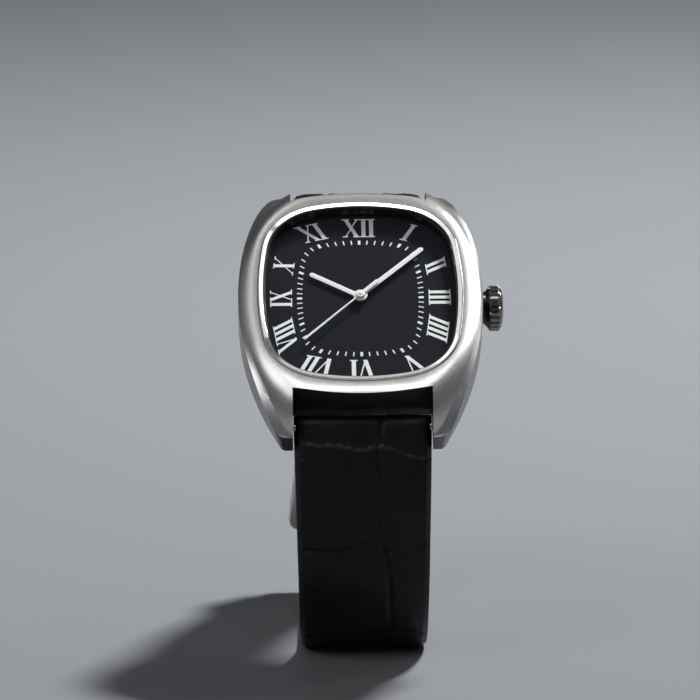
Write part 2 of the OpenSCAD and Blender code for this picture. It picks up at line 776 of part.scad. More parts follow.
// Flat toothed wheel. Its teeth stop short of the pitch circle, so meshed wheels run clear.
module gear(r, teeth, z_top) {
  m = 2 * r / teeth;
  tip = r - tooth_gap * m;
  root = r - 1.1 * m;
  step = 360 / teeth;
  translate([0, 0, z_top - gear_t]) linear_extrude(height = gear_t) polygon([
    for (i = [0:teeth - 1])
      let (a = i * step)
      each [
        root * [cos(a - 0.32 * step), sin(a - 0.32 * step)],
        tip * [cos(a - 0.16 * step), sin(a - 0.16 * step)],
        tip * [cos(a + 0.16 * step), sin(a + 0.16 * step)],
        root * [cos(a + 0.32 * step), sin(a + 0.32 * step)]
      ]
  ]);
}

module arbor(r, z0, z1) {
  translate([0, 0, z0]) cylinder(r = r, h = z1 - z0, $fn = 32);
}

// Heights of the tops of the gears, above the dial's face
hour_gear_z = -0.6;
works_gear_z = -0.95;
center_gear_z = -2.35;
third_gear_z = -2.8;
second_gear_z = -3.15;
fifth_gear_z = -3.5;

module hour_wheel() {
  color("gold") place_head() difference() {
    union() {
      gear(hour_wheel_r, 32, hour_gear_z);
      arbor(hour_tube_r, hour_gear_z - gear_t, hour_hand_z + hand_t);
    }
    arbor(center_tube_r + fit, -cut - 1, 2 * cut);
  }
}

module center_wheel() {
  color("gold") place_head() difference() {
    union() {
      gear(center_wheel_r, 64, center_gear_z);
      gear(cannon_r, 10, works_gear_z);
      arbor(center_tube_r, center_gear_z - gear_t, minute_hand_z + hand_t);
    }
    arbor(second_arbor_r + fit, -4, 2 * cut);
  }
}

module minute_wheel() {
  color("gold") place_head() translate(works_at) {
    gear(minute_wheel_r, 30, works_gear_z);
    gear(minute_pinion_r, 8, hour_gear_z);
    arbor(pivot_r + 0.08, -main_top - 0.5, hour_gear_z);
  }
}

module third_wheel() {
  color("gold") place_head() translate(third_at) {
    gear(third_wheel_r, 60, third_gear_z);
    gear(third_pinion_r, 8, center_gear_z);
    arbor(pivot_r, -bridge_bottom + 0.1, -main_bottom + 0.4);
  }
}

module second_wheel() {
  color("gold") place_head() {
    gear(second_wheel_r, 40, second_gear_z);
    gear(second_pinion_r, 8, third_gear_z);
    arbor(second_arbor_r, -bridge_bottom + 0.1, second_hand_z + hand_t);
  }
}

module fifth_wheel() {
  color("gold") place_head() translate(fifth_at) {
    gear(fifth_wheel_r, 36, fifth_gear_z);
    gear(fifth_pinion_r, 8, second_gear_z);
    arbor(pivot_r, -bridge_bottom + 0.1, -main_bottom + 0.4);
  }
}

module rotor() {
  color("dimgray") place_head() translate(rotor_at) {
    gear(rotor_pinion_r, 6, fifth_gear_z);
    arbor(rotor_r, -3.35, -2.55);
    arbor(pivot_r, -bridge_bottom + 0.1, -main_bottom + 0.4);
  }
}

// Flat bar from a to b with round ends
module link(a, b, w) {
  d = b - a;
  translate(a) rotate(atan2(d[1], d[0])) translate([0, -w / 2]) square([norm(d), w]);
  for (p = [a, b]) translate(p) circle(d = w, $fn = 24);
}

stator_z = -3.1;
stator_t = 0.3;
stator_elbow = [-4.9, 1.2];
stator_foot_w = 1.2;
upper_elbow_x = -4.6;
module stator() {
  foot_y = coil_l / 2 + stator_foot_w / 2 + fit;
  foot = [stator_elbow[0], -foot_y];
  color("lightsteelblue") place_head() translate([0, 0, stator_z]) linear_extrude(height = stator_t) difference() {
    union() {
      translate(rotor_at) circle(r = 1.7, $fn = round_fn);
      link(rotor_at, [upper_elbow_x, foot_y], stator_foot_w);
      link([upper_elbow_x, foot_y], [coil_x, foot_y], stator_foot_w);
      link(rotor_at, stator_elbow, 1);
      link(stator_elbow, foot, 0.7);
      link(foot, [coil_x, -foot_y], 0.7);
    }
    translate(rotor_at) circle(r = rotor_r + 0.2, $fn = round_fn);
  }
}

coil_z = -3.35;
coil_r = 0.95;
module coil_core() {
  end = coil_l / 2 + 1;
  color("gray") place_head() translate([coil_x, 0, coil_z])
    translate([-0.35, -end, -0.25]) cube([0.7, 2 * end, 0.5 - fit]);
}

module coil_winding() {
  color("#b8622c") place_head() translate([coil_x, coil_l / 2, coil_z]) rotate([90, 0, 0]) difference() {
    cylinder(r = coil_r, h = coil_l, $fn = round_fn);
    translate([-0.35, -0.25, -cut]) cube([0.7, 0.5 - fit, coil_l + 2 * cut]);
  }
}

module movement_outline(d) {
  w = movement_w / 2 + d;
  l = movement_l / 2 + d;
  c = 1.6;
  polygon([[w, -l + c], [w, l - c], [w - c, l], [c - w, l], [-w, l - c], [-w, c - l], [c - w, -l], [w - c, -l]]);
}

module main_plate() {
  color("goldenrod") place_head() difference() {
    union() {
      translate([0, 0, -main_bottom]) linear_extrude(height = main_bottom - dial_t) movement_outline(0);
      translate(screw_spots[0]) arbor(0.7, -bridge_bottom, -main_bottom);
      translate([5.8, -0.9, -stem_drop - 0.9]) cube([1.2, 1.8, stem_drop + 0.9 - main_bottom]);
    }
    translate([0, 0, -stem_drop]) x_cylinder(stem_r + fit, 5, 8);
    translate([0, 0, -main_top]) linear_extrude(height = main_top) {
      circle(r = hour_wheel_r + 0.2, $fn = round_fn);
      translate(works_at) circle(r = minute_wheel_r + 0.2, $fn = round_fn);
    }
    arbor(center_tube_r + fit, -3, 0);
    for (p = [third_at, fifth_at, rotor_at]) translate(p) arbor(pivot_r + fit, -main_bottom - cut, -main_bottom + 0.5);
    translate(works_at) arbor(pivot_r + 0.08 + fit, -main_top - 0.6, 0);
    for (s = [-1, 1]) translate([s * foot_at[0], s * foot_at[1], 0]) arbor(0.35 + fit, -3, 0);
    for (p = screw_spots) translate(p) arbor(0.35, -bridge_bottom - cut, -main_bottom + 1);
  }
}

bridge_outline = [
  [-5.2, -8.4], [-1.6, -8.4], [0, -3.4], [3, -0.8], [7.2, 1.6], [7.2, 4.4], [2.6, 5.6], [-4.4, 5.6], [-5.2, 4.6]
];
module train_bridge() {
  color("goldenrod") place_head() difference() {
    union() {
      translate([0, 0, -bridge_bottom]) linear_extrude(height = bridge_bottom - bridge_top)
        polygon(bridge_outline);
      for (p = [screw_spots[1], screw_spots[2]]) translate(p) arbor(0.7, -bridge_bottom, -main_bottom);
    }
    for (p = [third_at, fifth_at, rotor_at, [0, 0]]) translate(p) arbor(pivot_r + fit, -bridge_bottom - cut, 0);
    for (p = screw_spots) translate(p) arbor(0.35, -bridge_bottom - cut, 0);
  }
}

board_t = 0.25;
board_outline = [
  [-7.2, -7], [-5.6, -8.4], [-1.8, -8.4], [-0.2, -3.2], [3, -1], [7.2, 1.2], [7.2, 7], [5.6, 8.4], [-5.6, 8.4], [-7.2, 7]
];
module circuit_board() {
  color("darkgreen") place_head() translate([0, 0, -bridge_bottom - board_t]) difference() {
    linear_extrude(height = board_t) polygon(board_outline);
    for (p = screw_spots) translate(p) arbor(0.45, -cut, cut);
  }
}

cell_top = main_bottom + 0.05;
cell_t = 2.15;
module button_cell() {
  color("lightgray") place_head() translate(cell_at) {
    arbor(cell_d / 2 - 0.5, -cell_top - 0.25, -cell_top);
    arbor(cell_d / 2, -cell_top - cell_t, -cell_top - 0.25);
  }
}

clamp_w = 2;
clamp_t = 0.2;
clamp_leg_t = 0.25;
clamp_clear = 0.1; // between the cell and the clamp's legs
module cell_clamp() {
  z = -cell_top - cell_t;
  leg_h = -main_bottom - z + clamp_t;
  leg_out = cell_d / 2 + clamp_clear + clamp_leg_t;
  color("silver") place_head() translate([cell_at[0] - clamp_w / 2, cell_at[1], z - clamp_t]) {
    translate([0, -leg_out, 0]) cube([clamp_w, 2 * leg_out, clamp_t]);
    for (y = [-leg_out, leg_out - clamp_leg_t]) translate([0, y, 0]) cube([clamp_w, clamp_leg_t, leg_h]);
  }
}

module movement_screws() {
  color("steelblue") place_head() for (p = screw_spots) translate(p) difference() {
    union() {
      arbor(0.35, -bridge_bottom - 0.25, -main_bottom + 1);
      arbor(0.7, -bridge_bottom - 0.5, -bridge_bottom - 0.25);
    }
    translate([-cut, -0.08, -bridge_bottom - 0.5 - cut]) cube([2 * cut, 0.16, cut + 0.12]);
  }
}

module movement_holder() {
  color("white") place_head() difference() {
    cushion_plate(grown(opening, -2 * fit), -holder_bottom, -dial_t);
    translate([0, 0, -holder_bottom - cut]) linear_extrude(height = holder_bottom + 2 * cut) movement_outline(fit);
    translate([0, 0, -stem_drop]) x_cylinder(stem_r + 0.3, movement_w / 2 - cut, opening_w / 2 + cut);
  }
}

module stem() {
  color("silver") place_head() translate([0, 0, -stem_drop]) {
    x_cylinder(stem_r, 3.4, crown_face + crown_bore_l - fit);
    x_cylinder(thread_r, crown_face + crown_bore_l - fit, crown_face + thread_end);
  }
}

module crown_tube() {
  color("silver") place_head() translate([0, 0, -stem_drop]) difference() {
    x_cylinder(tube_r, opening_w / 2 + 0.2, tube_end);
    x_cylinder(tube_bore_r, opening_w / 2 - cut, tube_end + cut);
  }
}

module crown_gasket() {
  color("black") place_head() translate([crown_face + 0.35, 0, -stem_drop]) rotate([0, 90, 0])
    rotate_extrude($fn = round_fn) translate([(tube_r + crown_bore_r) / 2, 0]) circle(r = 0.2, $fn = 24);
}

module crown() {
  band_x = crown_neck;
  dome_x = band_x + crown_band;
  end_x = dome_x + crown_dome;
  profile = [
    [0, crown_bore_l],
    [crown_bore_r, crown_bore_l],
    [crown_bore_r, 0],
    [crown_neck_r, 0],
    [crown_neck_r, 0.2],
    [crown_r - 0.15, band_x],
    [crown_r, band_x + 0.15],
    [crown_r, dome_x - 0.1],
    [crown_r - 0.35, dome_x + 0.2 * crown_dome],
    [crown_r * 0.6, dome_x + 0.75 * crown_dome],
    [crown_r * 0.3, dome_x + 0.95 * crown_dome],
    [0, end_x]
  ];
  color("slategray") place_head() translate([crown_face, 0, -stem_drop]) difference() {
    rotate([0, 90, 0]) rotate_extrude($fn = 96) polygon(profile);
    for (i = [0:flute_count - 1]) rotate([i * 360 / flute_count, 0, 0]) translate([0, 0, crown_r + 0.08])
      x_cylinder(0.26, band_x - 0.35, dome_x + 0.4);
    x_cylinder(thread_r, crown_bore_l - cut, thread_end);
  }
}

module case_back() {
  pad = grown(opening, -2);
  plug_top = -body_bottom_drop + plug_t;
  color("lightgray") place_head() difference() {
    union() {
      cushion_plate(grown(opening, -fit), -body_bottom_drop, plug_top);
      cushion_plate(grown(opening, back_flange_w), -body_bottom_drop - back_flange_t, -body_bottom_drop);
      cushion_plate(pad, -back_drop, -body_bottom_drop - back_flange_t);
    }
    cushion_band(grown(opening, -groove_in), grown(opening, -fit + 0.1), plug_top - groove_t, plug_top + cut);
    back_screw_places() translate([0, 0, -back_drop - cut]) cylinder(r = back_screw_r + fit, h = 3, $fn = round_fn);
    back_screw_places() translate([0, 0, -back_drop - cut])
      cylinder(r = 0.75, h = back_drop + cut - body_bottom_drop - 0.3, $fn = round_fn);
  }
}

module back_gasket() {
  z = -body_bottom_drop + plug_t - groove_t;
  color("black") place_head() cushion_band(grown(opening, -groove_in), grown(opening, -fit), z, z + groove_t - fit);
}

module back_screws() {
  z = -body_bottom_drop;
  color("silver") place_head() back_screw_places() difference() {
    union() {
      arbor(back_screw_r, z - 0.4, z + back_screw_l - 0.1);
      arbor(0.65, z - back_flange_t, z - 0.3);
    }
    translate([-1, -0.1, z - back_flange_t - cut]) cube([2, 0.2, cut + 0.2]);
  }
}

// Spring bar: a tube along X with a sprung tip in each end
module bar_tube(half) {
  difference() {
    x_cylinder(bar_r, -half, half);
    for (s = [0, 1]) mirror([s, 0, 0]) x_cylinder(bar_tip_r + 0.1 + fit, half - 3, half + cut);
  }
}

module bar_tip(half, reach) {
  x_cylinder(bar_tip_r + 0.1, half - 1.8, half);
  x_cylinder(bar_tip_r, half - 0.1, half + reach);
}

bar_half = lug_gap / 2 - 0.15;
module lug_bar_place(side) {
  place_head() translate([0, side * bar_y, -bar_drop]) children();
}

module lower_bar_tube() { color("silver") lug_bar_place(-1) bar_tube(bar_half); }
module upper_bar_tube() { color("silver") lug_bar_place(1) bar_tube(bar_half); }
module lug_bar_tip(side, hand) {
  color("silver") lug_bar_place(side) mirror([hand < 0 ? 1 : 0, 0, 0]) bar_tip(bar_half, bar_tip_l + 0.15);
}
module lower_bar_tip_left() { lug_bar_tip(-1, -1); }
module lower_bar_tip_right() { lug_bar_tip(-1, 1); }
module upper_bar_tip_left() { lug_bar_tip(1, -1); }
module upper_bar_tip_right() { lug_bar_tip(1, 1); }

// Section of the outer leather, clockwise as [x, out], between the levels a and b
function strap_section(w, a, b) =
  let (h = w / 2, k = b - a)
  [
    [-h, a],
    [-h, b - 0.42 * k],
    [-h + 0.4, b - 0.16 * k],
    [-h + 1.5, b],
    [h - 1.5, b],
    [h - 0.4, b - 0.16 * k],
    [h, b - 0.42 * k],
    [h, a]
  ];
function flat_section(w, a, b) = [[-w / 2, a], [-w / 2, b], [w / 2, b], [w / 2, a]];
function station(s, section) =
  let (p = route_at(s), n = route_out(s))
  [for (q = section) [head_x + q[0], head_y + p[0] + q[1] * n[0], p[1] + q[1] * n[1]]];
function spaced(a, b, d) = let (n = ceil((b - a) / d)) [for (i = [0:n]) a + (b - a) * i / n];

lining_start = 5;
station_gap = 3.2;
fold_steps = 4;

// Half thickness of a fold of radius r, at distance x past its bar
function fold_half(x, r) = sqrt(max(r * r - x * x, 0));
fold_stations = [for (i = [0:fold_steps]) sin(i * 80 / fold_steps)];

module strap_hole_cutter(s, l) {
  place_strap(s, long_out(s)) translate([0, 0, -strap_t]) linear_extrude(height = 2 * strap_t) {
    for (e = [-l / 2, l / 2]) translate([0, e]) circle(d = hole_d, $fn = 32);
    translate([-hole_d / 2, -l / 2]) square([hole_d, l]);
  }
}

module strap_holes() {
  strap_hole_cutter(used_hole_s, used_hole_l);
  for (i = [-3, -2, -1, 1, 2]) place_strap(used_hole_s + i * hole_pitch, long_out(used_hole_s + i * hole_pitch))
    translate([0, 0, -strap_t]) cylinder(d = hole_d, h = 2 * strap_t, $fn = 32);
}

function long_station(s, low) =
  let (c = long_out(s), h = s < 0 ? fold_half(s, roll_r) : long_t(s) / 2)
  station(s, strap_section(tail_w(s), c - h + low, c + h));

module strap_long() {
  fold = [for (i = [fold_steps:-1:1]) long_station(-roll_r * fold_stations[i], 0)];
  whole = [for (s = spaced(0, lining_start, 2.5)) long_station(s, 0)];
  lined = [for (s = spaced(lining_start + 0.1, tail_s, station_gap)) long_station(s, lining_t)];
  color("#1d1d20") difference() {
    skinned(concat(fold, whole, lined));
    place_strap(0) x_cylinder(bar_r + fit, -strap_w, strap_w);
    strap_holes();
  }
}

module strap_long_lining() {
  color("#33302e") difference() {
    skinned([
      for (s = spaced(lining_start + 0.1, tail_s, station_gap))
        let (low = long_out(s) - long_t(s) / 2)
        station(s, flat_section(tail_w(s), low, low + lining_t))
    ]);
    strap_holes();
  }
}

short_lining = [pin_s + 4, route_l - lining_start];
function short_station(s, low, h) = station(s, strap_section(short_w(s), low - h, h));

module strap_short() {
  pin_fold = [
    for (i = [fold_steps:-1:1])
      let (x = pin_roll_r * fold_stations[i])
      short_station(pin_s - x, 0, fold_half(x, pin_roll_r))
  ];
  pin_end = [for (s = [pin_s, pin_s + 2, pin_s + 3.9]) short_station(s, 0, short_t(s) / 2)];
  lined = [for (s = spaced(short_lining[0], short_lining[1], station_gap)) short_station(s, lining_t, short_t(s) / 2)];
  lug_end = [for (s = spaced(short_lining[1] + 0.1, route_l, 2.5)) short_station(s, 0, short_t(s) / 2)];
  lug_fold = [
    for (i = [1:fold_steps])
      let (x = roll_r * fold_stations[i])
      short_station(route_l + x, 0, fold_half(x, roll_r))
  ];
  color("#1d1d20") difference() {
    skinned(concat(pin_fold, pin_end, lined, lug_end, lug_fold));
    place_strap(route_l) x_cylinder(bar_r + fit, -strap_w, strap_w);
    place_strap(pin_s) x_cylinder(bar_r + fit, -strap_w, strap_w);
    place_strap(pin_s) translate([-tongue_gap / 2, -3, -3]) cube([tongue_gap, 5.4, 6]);
  }
}

module strap_short_lining() {
  color("#33302e") skinned([
    for (s = spaced(short_lining[0], short_lining[1], station_gap))
      station(s, flat_section(short_w(s), -short_t(s) / 2, -short_t(s) / 2 + lining_t))
  ]);
}

// Closed band round both straps, wide enough for the widest place it slides to
module keeper(s, gap, travel) {
  w = short_w(s + travel + keeper_l / 2) + 2 * gap;
  low = -short_t(s) / 2 - gap;
  high = long_out(s) + long_t(s) / 2 + gap;
  color("#1d1d20") place_strap(s) rotate([90, 0, 0]) translate([0, 0, -keeper_l / 2])
    linear_extrude(height = keeper_l) difference() {
      translate([-w / 2 - keeper_t, low - keeper_t]) square([w + 2 * keeper_t, high - low + 2 * keeper_t]);
      translate([-w / 2, low]) square([w, high - low]);
    }
}

module keeper_fixed() { keeper(keeper_fixed_s, soft_fit, 0); }
module keeper_free() { keeper(keeper_free_s, keeper_slack, keeper_travel); }

// Buckle parts are drawn at the buckle bar, with -Y along the arms and +Z out of the loop
buckle_slope = asin(buckle_out / buckle_l);
module buckle_frame() {
  w0 = buckle_inner / 2 + buckle_arm * 0.6;
  w1 = w0 + buckle_flare / 2;
  front = -buckle_l - buckle_arm / 2;
  color("gainsboro") place_strap(pin_s) rotate([-buckle_slope, 0, 0]) difference() {
    translate([0, 0, -buckle_t / 2]) linear_extrude(height = buckle_t) difference() {
      polygon([
        [-w0, 1.2],
        [w0, 1.2],
        [w0, -1],
        [w1, front + 1.6],
        [w1 - 1.6, front],
        [1.6 - w1, front],
        [-w1, front + 1.6],
        [-w0, -1]
      ]);
      translate([-buckle_inner / 2, front + buckle_arm]) square([buckle_inner, buckle_l + buckle_arm]);
    }
    x_cylinder(bar_tip_r + fit, -buckle_inner, buckle_inner);
  }
}

buckle_half = buckle_inner / 2 - 0.1;
module buckle_bar_tube() { color("silver") place_strap(pin_s) bar_tube(buckle_half); }
module buckle_bar_tip(hand) {
  color("silver") place_strap(pin_s) mirror([hand < 0 ? 1 : 0, 0, 0]) bar_tip(buckle_half, 1);
}
module buckle_bar_tip_left() { buckle_bar_tip(-1); }
module buckle_bar_tip_right() { buckle_bar_tip(1); }

// The tongue rises through the strap and lies over it, its tip on the frame's front bar
frame_top = (buckle_l + buckle_arm / 2) * sin(buckle_slope) + buckle_t / 2 * cos(buckle_slope);
tongue_level = frame_top + fit + tongue_t / 2;
module buckle_tongue() {
  path = [[0, 0], [-1.9, 3.1], [-3.1, tongue_level], [-buckle_l - 0.9, tongue_level]];
  color("gainsboro") place_strap(pin_s) difference() {
    translate([-tongue_w / 2, 0, 0]) rotate([90, 0, 90]) linear_extrude(height = tongue_w) {
      circle(r = bar_r + 0.45, $fn = round_fn);
      for (i = [0:2]) link(path[i], path[i + 1], tongue_t);
    }
    x_cylinder(bar_r + fit, -2, 2);
  }
}

case_middle();
bezel_ring();
crystal();
crystal_gasket();
rehaut_ring();
dial_plate();
hour_figures();
minute_track();
hour_hand();
minute_hand();
second_hand();
hour_wheel();
center_wheel();
minute_wheel();
third_wheel();
second_wheel();
fifth_wheel();
rotor();
stator();
coil_core();
coil_winding();
main_plate();
train_bridge();
circuit_board();
button_cell();
cell_clamp();
movement_screws();
movement_holder();
stem();
crown();
crown_gasket();
crown_tube();
case_back();
back_gasket();
back_screws();
lower_bar_tube();
lower_bar_tip_left();
lower_bar_tip_right();
upper_bar_tube();
upper_bar_tip_left();
upper_bar_tip_right();
strap_long();
strap_long_lining();
strap_short();
strap_short_lining();
keeper_fixed();
keeper_free();
buckle_frame();
buckle_tongue();
buckle_bar_tube();
buckle_bar_tip_left();
buckle_bar_tip_right();
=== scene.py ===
import json
import math

import bmesh
import bpy
import numpy as np
from mathutils import Matrix, Vector, noise


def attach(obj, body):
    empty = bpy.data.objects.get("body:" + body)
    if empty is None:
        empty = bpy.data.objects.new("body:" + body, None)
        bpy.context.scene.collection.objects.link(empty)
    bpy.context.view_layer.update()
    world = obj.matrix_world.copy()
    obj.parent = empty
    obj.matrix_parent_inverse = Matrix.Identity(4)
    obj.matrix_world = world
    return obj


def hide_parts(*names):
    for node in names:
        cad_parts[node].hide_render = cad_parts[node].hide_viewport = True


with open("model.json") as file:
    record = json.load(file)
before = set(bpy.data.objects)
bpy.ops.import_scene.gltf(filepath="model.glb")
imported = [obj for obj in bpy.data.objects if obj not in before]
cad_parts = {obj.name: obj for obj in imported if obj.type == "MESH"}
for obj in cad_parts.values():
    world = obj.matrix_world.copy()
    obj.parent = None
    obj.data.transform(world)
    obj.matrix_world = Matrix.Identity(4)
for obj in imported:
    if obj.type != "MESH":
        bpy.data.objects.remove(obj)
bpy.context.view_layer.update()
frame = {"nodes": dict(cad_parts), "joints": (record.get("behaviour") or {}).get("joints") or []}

mm = 0.001
joints = {joint["name"]: joint for joint in frame["joints"]}
print("frame loaded", len(frame["nodes"]), "nodes")

# the head's own axes: millimetres from the middle of the dial face, x to 3 o'clock, y to 12, z out
dialCentre = Vector(joints["second_hand_turn"]["pos_m"])
dialOut = -Vector(joints["second_hand_turn"]["axis"]).normalized()
dialUp = dialOut.cross(Vector((1, 0, 0)))
headTurn = Matrix((Vector((1, 0, 0)), dialUp, dialOut)).transposed().to_4x4()
headPlace = Matrix.Translation(dialCentre) @ headTurn @ Matrix.Scale(mm, 4)
# the strap's side view: x from the middle of the dial, y the same, z up from the ground
sidePlace = Matrix.Translation((dialCentre.x, dialCentre.y, 0)) @ Matrix.Scale(mm, 4)


def addObject(name, data):
    item = bpy.data.objects.new(name, data)
    bpy.context.scene.collection.objects.link(item)
    return item


# camera and framing

camera = {
    "distance": 800.0,        # from the dial, where the photo's perspective fits
    "pixelsPerMm": 6.27,      # at the dial
    "photoSide": 700,
    "dialPixel": (360.8, 298.1),
    "elevation": 10.0,
    "yaw": 0.9,               # the camera stands a little to the 9 o'clock side
    "roll": -0.45,
    "sensor": 36.0,
}


def placeCamera():
    e, a = math.radians(camera["elevation"]), math.radians(camera["yaw"])
    toCamera = Vector((-math.sin(a) * math.cos(e), -math.cos(a) * math.cos(e), math.sin(e)))
    right = Vector((0, 0, 1)).cross(toCamera).normalized()
    up = toCamera.cross(right)
    half = camera["photoSide"] / 2
    acrossMm = (camera["dialPixel"][0] - half) / camera["pixelsPerMm"]
    upMm = (half - camera["dialPixel"][1]) / camera["pixelsPerMm"]
    position = dialCentre + toCamera * camera["distance"] * mm
    aim = dialCentre - right * acrossMm * mm - up * upMm * mm
    back = (position - aim).normalized()
    side = Vector((0, 0, 1)).cross(back).normalized()
    turn = Matrix((side, back.cross(side), back)).transposed()
    turn = Matrix.Rotation(math.radians(camera["roll"]), 3, back) @ turn
    data = bpy.data.cameras.new("photoCamera")
    data.sensor_width = camera["sensor"]
    data.lens = camera["distance"] * camera["pixelsPerMm"] * camera["sensor"] / camera["photoSide"]
    data.clip_start, data.clip_end = 0.05, 20
    eye = addObject("photoCamera", data)
    eye.matrix_world = Matrix.Translation(position) @ turn.to_4x4()
    bpy.context.scene.camera = eye


placeCamera()
print("camera placed")


# colours, nodes and materials

def hexColour(text):
    parts = [int(text[i:i + 2], 16) / 255 for i in (1, 3, 5)]
    linear = [c / 12.92 if c <= 0.04045 else ((c + 0.055) / 1.055) ** 2.4 for c in parts]
    return (*linear, 1.0)


def addNode(tree, kind, inputs=None, **settings):
    node = tree.nodes.new(kind)
    for key, value in settings.items():
        setattr(node, key, value)
    for key, value in (inputs or {}).items():
        if isinstance(value, bpy.types.NodeSocket):
            tree.links.new(value, node.inputs[key])
        else:
            node.inputs[key].default_value = value
    return node


def newMaterial(name, colour, roughness, metal=0.0, **shader):
    material = bpy.data.materials.new(name)
    material.use_nodes = True
    surface = material.node_tree.nodes["Principled BSDF"]
    shader.update({"Base Color": hexColour(colour), "Roughness": roughness, "Metallic": metal})
    for key, value in shader.items():
        surface.inputs[key.replace("_", " ")].default_value = value
    return material, material.node_tree, surface


def objectGrain(tree, scale, detail=3.0, rough=0.6, stretch=(1, 1, 1), turn=(0, 0, 0)):
    # noise on object coordinates, drawn out along an axis by unequal stretch
    place = addNode(tree, "ShaderNodeTexCoord").outputs["Object"]
    mapped = addNode(tree, "ShaderNodeMapping", {"Vector": place, "Rotation": turn, "Scale": stretch})
    grain = addNode(tree, "ShaderNodeTexNoise", {
        "Vector": mapped.outputs["Vector"], "Scale": scale, "Detail": detail, "Roughness": rough})
    return grain.outputs["Fac"]


def follow(tree, surface, pattern, tones=None, gloss=None, relief=None, low=0.3, high=0.7):
    # lets tone, roughness and relief follow a pattern; relief is (depth in mm, strength)
    if tones:
        ramp = addNode(tree, "ShaderNodeValToRGB", {"Fac": pattern})
        for element, place, colour in zip(ramp.color_ramp.elements, (low, high), tones):
            element.position, element.color = place, hexColour(colour)
        tree.links.new(ramp.outputs["Color"], surface.inputs["Base Color"])
    if gloss:
        spread = addNode(tree, "ShaderNodeMapRange", {
            "Value": pattern, "From Min": low, "From Max": high, "To Min": gloss[0], "To Max": gloss[1]})
        tree.links.new(spread.outputs["Result"], surface.inputs["Roughness"])
    if relief:
        bump = addNode(tree, "ShaderNodeBump", {
            "Height": pattern, "Distance": relief[0] * mm, "Strength": relief[1]})
        for link in surface.inputs["Normal"].links:
            tree.links.new(link.from_socket, bump.inputs["Normal"])
        tree.links.new(bump.outputs["Normal"], surface.inputs["Normal"])


def grained(name, colour, roughness, grain, metal=0.0, shader=None, **looks):
    # a material whose looks follow one grain on the object
    material, tree, surface = newMaterial(name, colour, roughness, metal, **(shader or {}))
    follow(tree, surface, objectGrain(tree, *grain), **looks)
    return material


headLean = (-math.radians(90) + math.atan2(dialOut.z, -dialOut.y), 0, 0)  # turns world axes onto the head's


def satinSteel():
    # 316L stainless steel, bead blasted and then brushed from lug to lug: a soft, streaky glow
    material, tree, surface = newMaterial("satinSteel316L", "#cfcdca", 0.32, 1.0)
    brushed = objectGrain(tree, 4200, 5, 0.7, (1, 0.08, 1), headLean)    # 0.25 mm lines, drawn coarse to show
    blasted = objectGrain(tree, 9000, 2)                                 # 0.1 mm bead marks
    mixed = addNode(tree, "ShaderNodeMix", {"Factor": 0.3, "A": brushed, "B": blasted}, data_type="FLOAT")
    follow(tree, surface, mixed.outputs["Result"], ("#bcbab8", "#dcdad8"), (0.26, 0.38), (0.012, 0.8))
    return material


def flankSteelPaintedShade():
    # the same steel on the flanks, brushed along the case and finer, with longer reflections; its base colour
    # is made darker than the top's as painted shade, since the flanks face sideways and down
    return grained("brushedFlankSteelPaintedShade", "#66666a", 0.24, (2200, 4, 0.6, (1, 0.05, 1), headLean), 1.0,
                   gloss=(0.2, 0.3), relief=(0.006, 0.3))


def wallSteelPaintedShade():
    # the walls between the lugs, blasted with coarse grit and left raw: dull, with 0.15 mm pits; the same
    # steel made dark here as painted shade, where the walls lie in shade
    return grained("gritBlastedSteelPaintedShade", "#3a3a3c", 0.55, (7000, 2), 1.0,
                   tones=("#313133", "#434345"), relief=(0.01, 0.4))


def polishedSteel():
    # steel polished on a buff: near mirror, with faint wheel marks
    return grained("buffedSteel", "#e6e5e3", 0.14, (1800, 3, 0.6, (1, 0.2, 1)), 1.0,
                   gloss=(0.1, 0.18), low=0.35)


def crownSteelPaintedShade():
    # the crown's steel, turned and tumbled: a little soft, with a base colour darker than the case's steel as
    # painted shade
    return grained("tumbledSteelPaintedShade", "#7e7b77", 0.2, (3400,), 1.0, gloss=(0.14, 0.28), relief=(0.01, 0.4))


def crystalGlass():
    # mineral glass, ground, polished and given an anti-reflective coat: clear, with a weak reflection
    material = bpy.data.materials.new("polishedMineralGlass")
    material.use_nodes = True
    tree = material.node_tree
    tree.nodes.clear()
    output = addNode(tree, "ShaderNodeOutputMaterial")
    clear = addNode(tree, "ShaderNodeBsdfTransparent", {"Color": (0.985, 0.99, 0.995, 1)})
    gloss = addNode(tree, "ShaderNodeBsdfGlossy", {"Color": (1, 1, 1, 1), "Roughness": 0.0})
    # reflection rises toward a grazing view, the same from both sides of the glass
    facing = addNode(tree, "ShaderNodeLayerWeight", {"Blend": 0.5})
    rise = addNode(tree, "ShaderNodeMath", {0: facing.outputs["Facing"], 1: 5.0}, operation="POWER")
    share = addNode(tree, "ShaderNodeMapRange", {
        "Value": rise.outputs["Value"], "To Min": 0.008, "To Max": 1.0})
    mix = addNode(tree, "ShaderNodeMixShader", {
        0: share.outputs["Result"], 1: clear.outputs["BSDF"], 2: gloss.outputs["BSDF"]})
    tree.links.new(mix.outputs["Shader"], output.inputs["Surface"])
    return material


def dialLacquer():
    # brass blank under black lacquer, sprayed and flatted: blue-black with the finest speckle
    return grained("sprayedBlackLacquer", "#1e2026", 0.5, (9000, 2, 0.7), shader={"Specular_IOR_Level": 0.06},
                   tones=("#1b1d22", "#222429"), relief=(0.004, 0.5), high=0.75)


def rehautBlack():
    # moulded ABS under gloss black paint
    return grained("glossBlackABS", "#08080b", 0.22, (900, 2, 0.5), relief=(0.01, 0.3))


def printInk():
    # pad-printed white ink: opaque and slightly raised, with a soft edge to its gloss
    return grained("padPrintedInk", "#f7f7f5", 0.45, (8000, 2),
                   tones=("#f6f6f4", "#fdfdfb"), relief=(0.006, 0.5))


def handSilver():
    # brass hands under a pale silver plate, satin drawn
    return grained("satinSilverPlate", "#fbfaf8", 0.34, (6000, 2), 0.1, gloss=(0.28, 0.4))


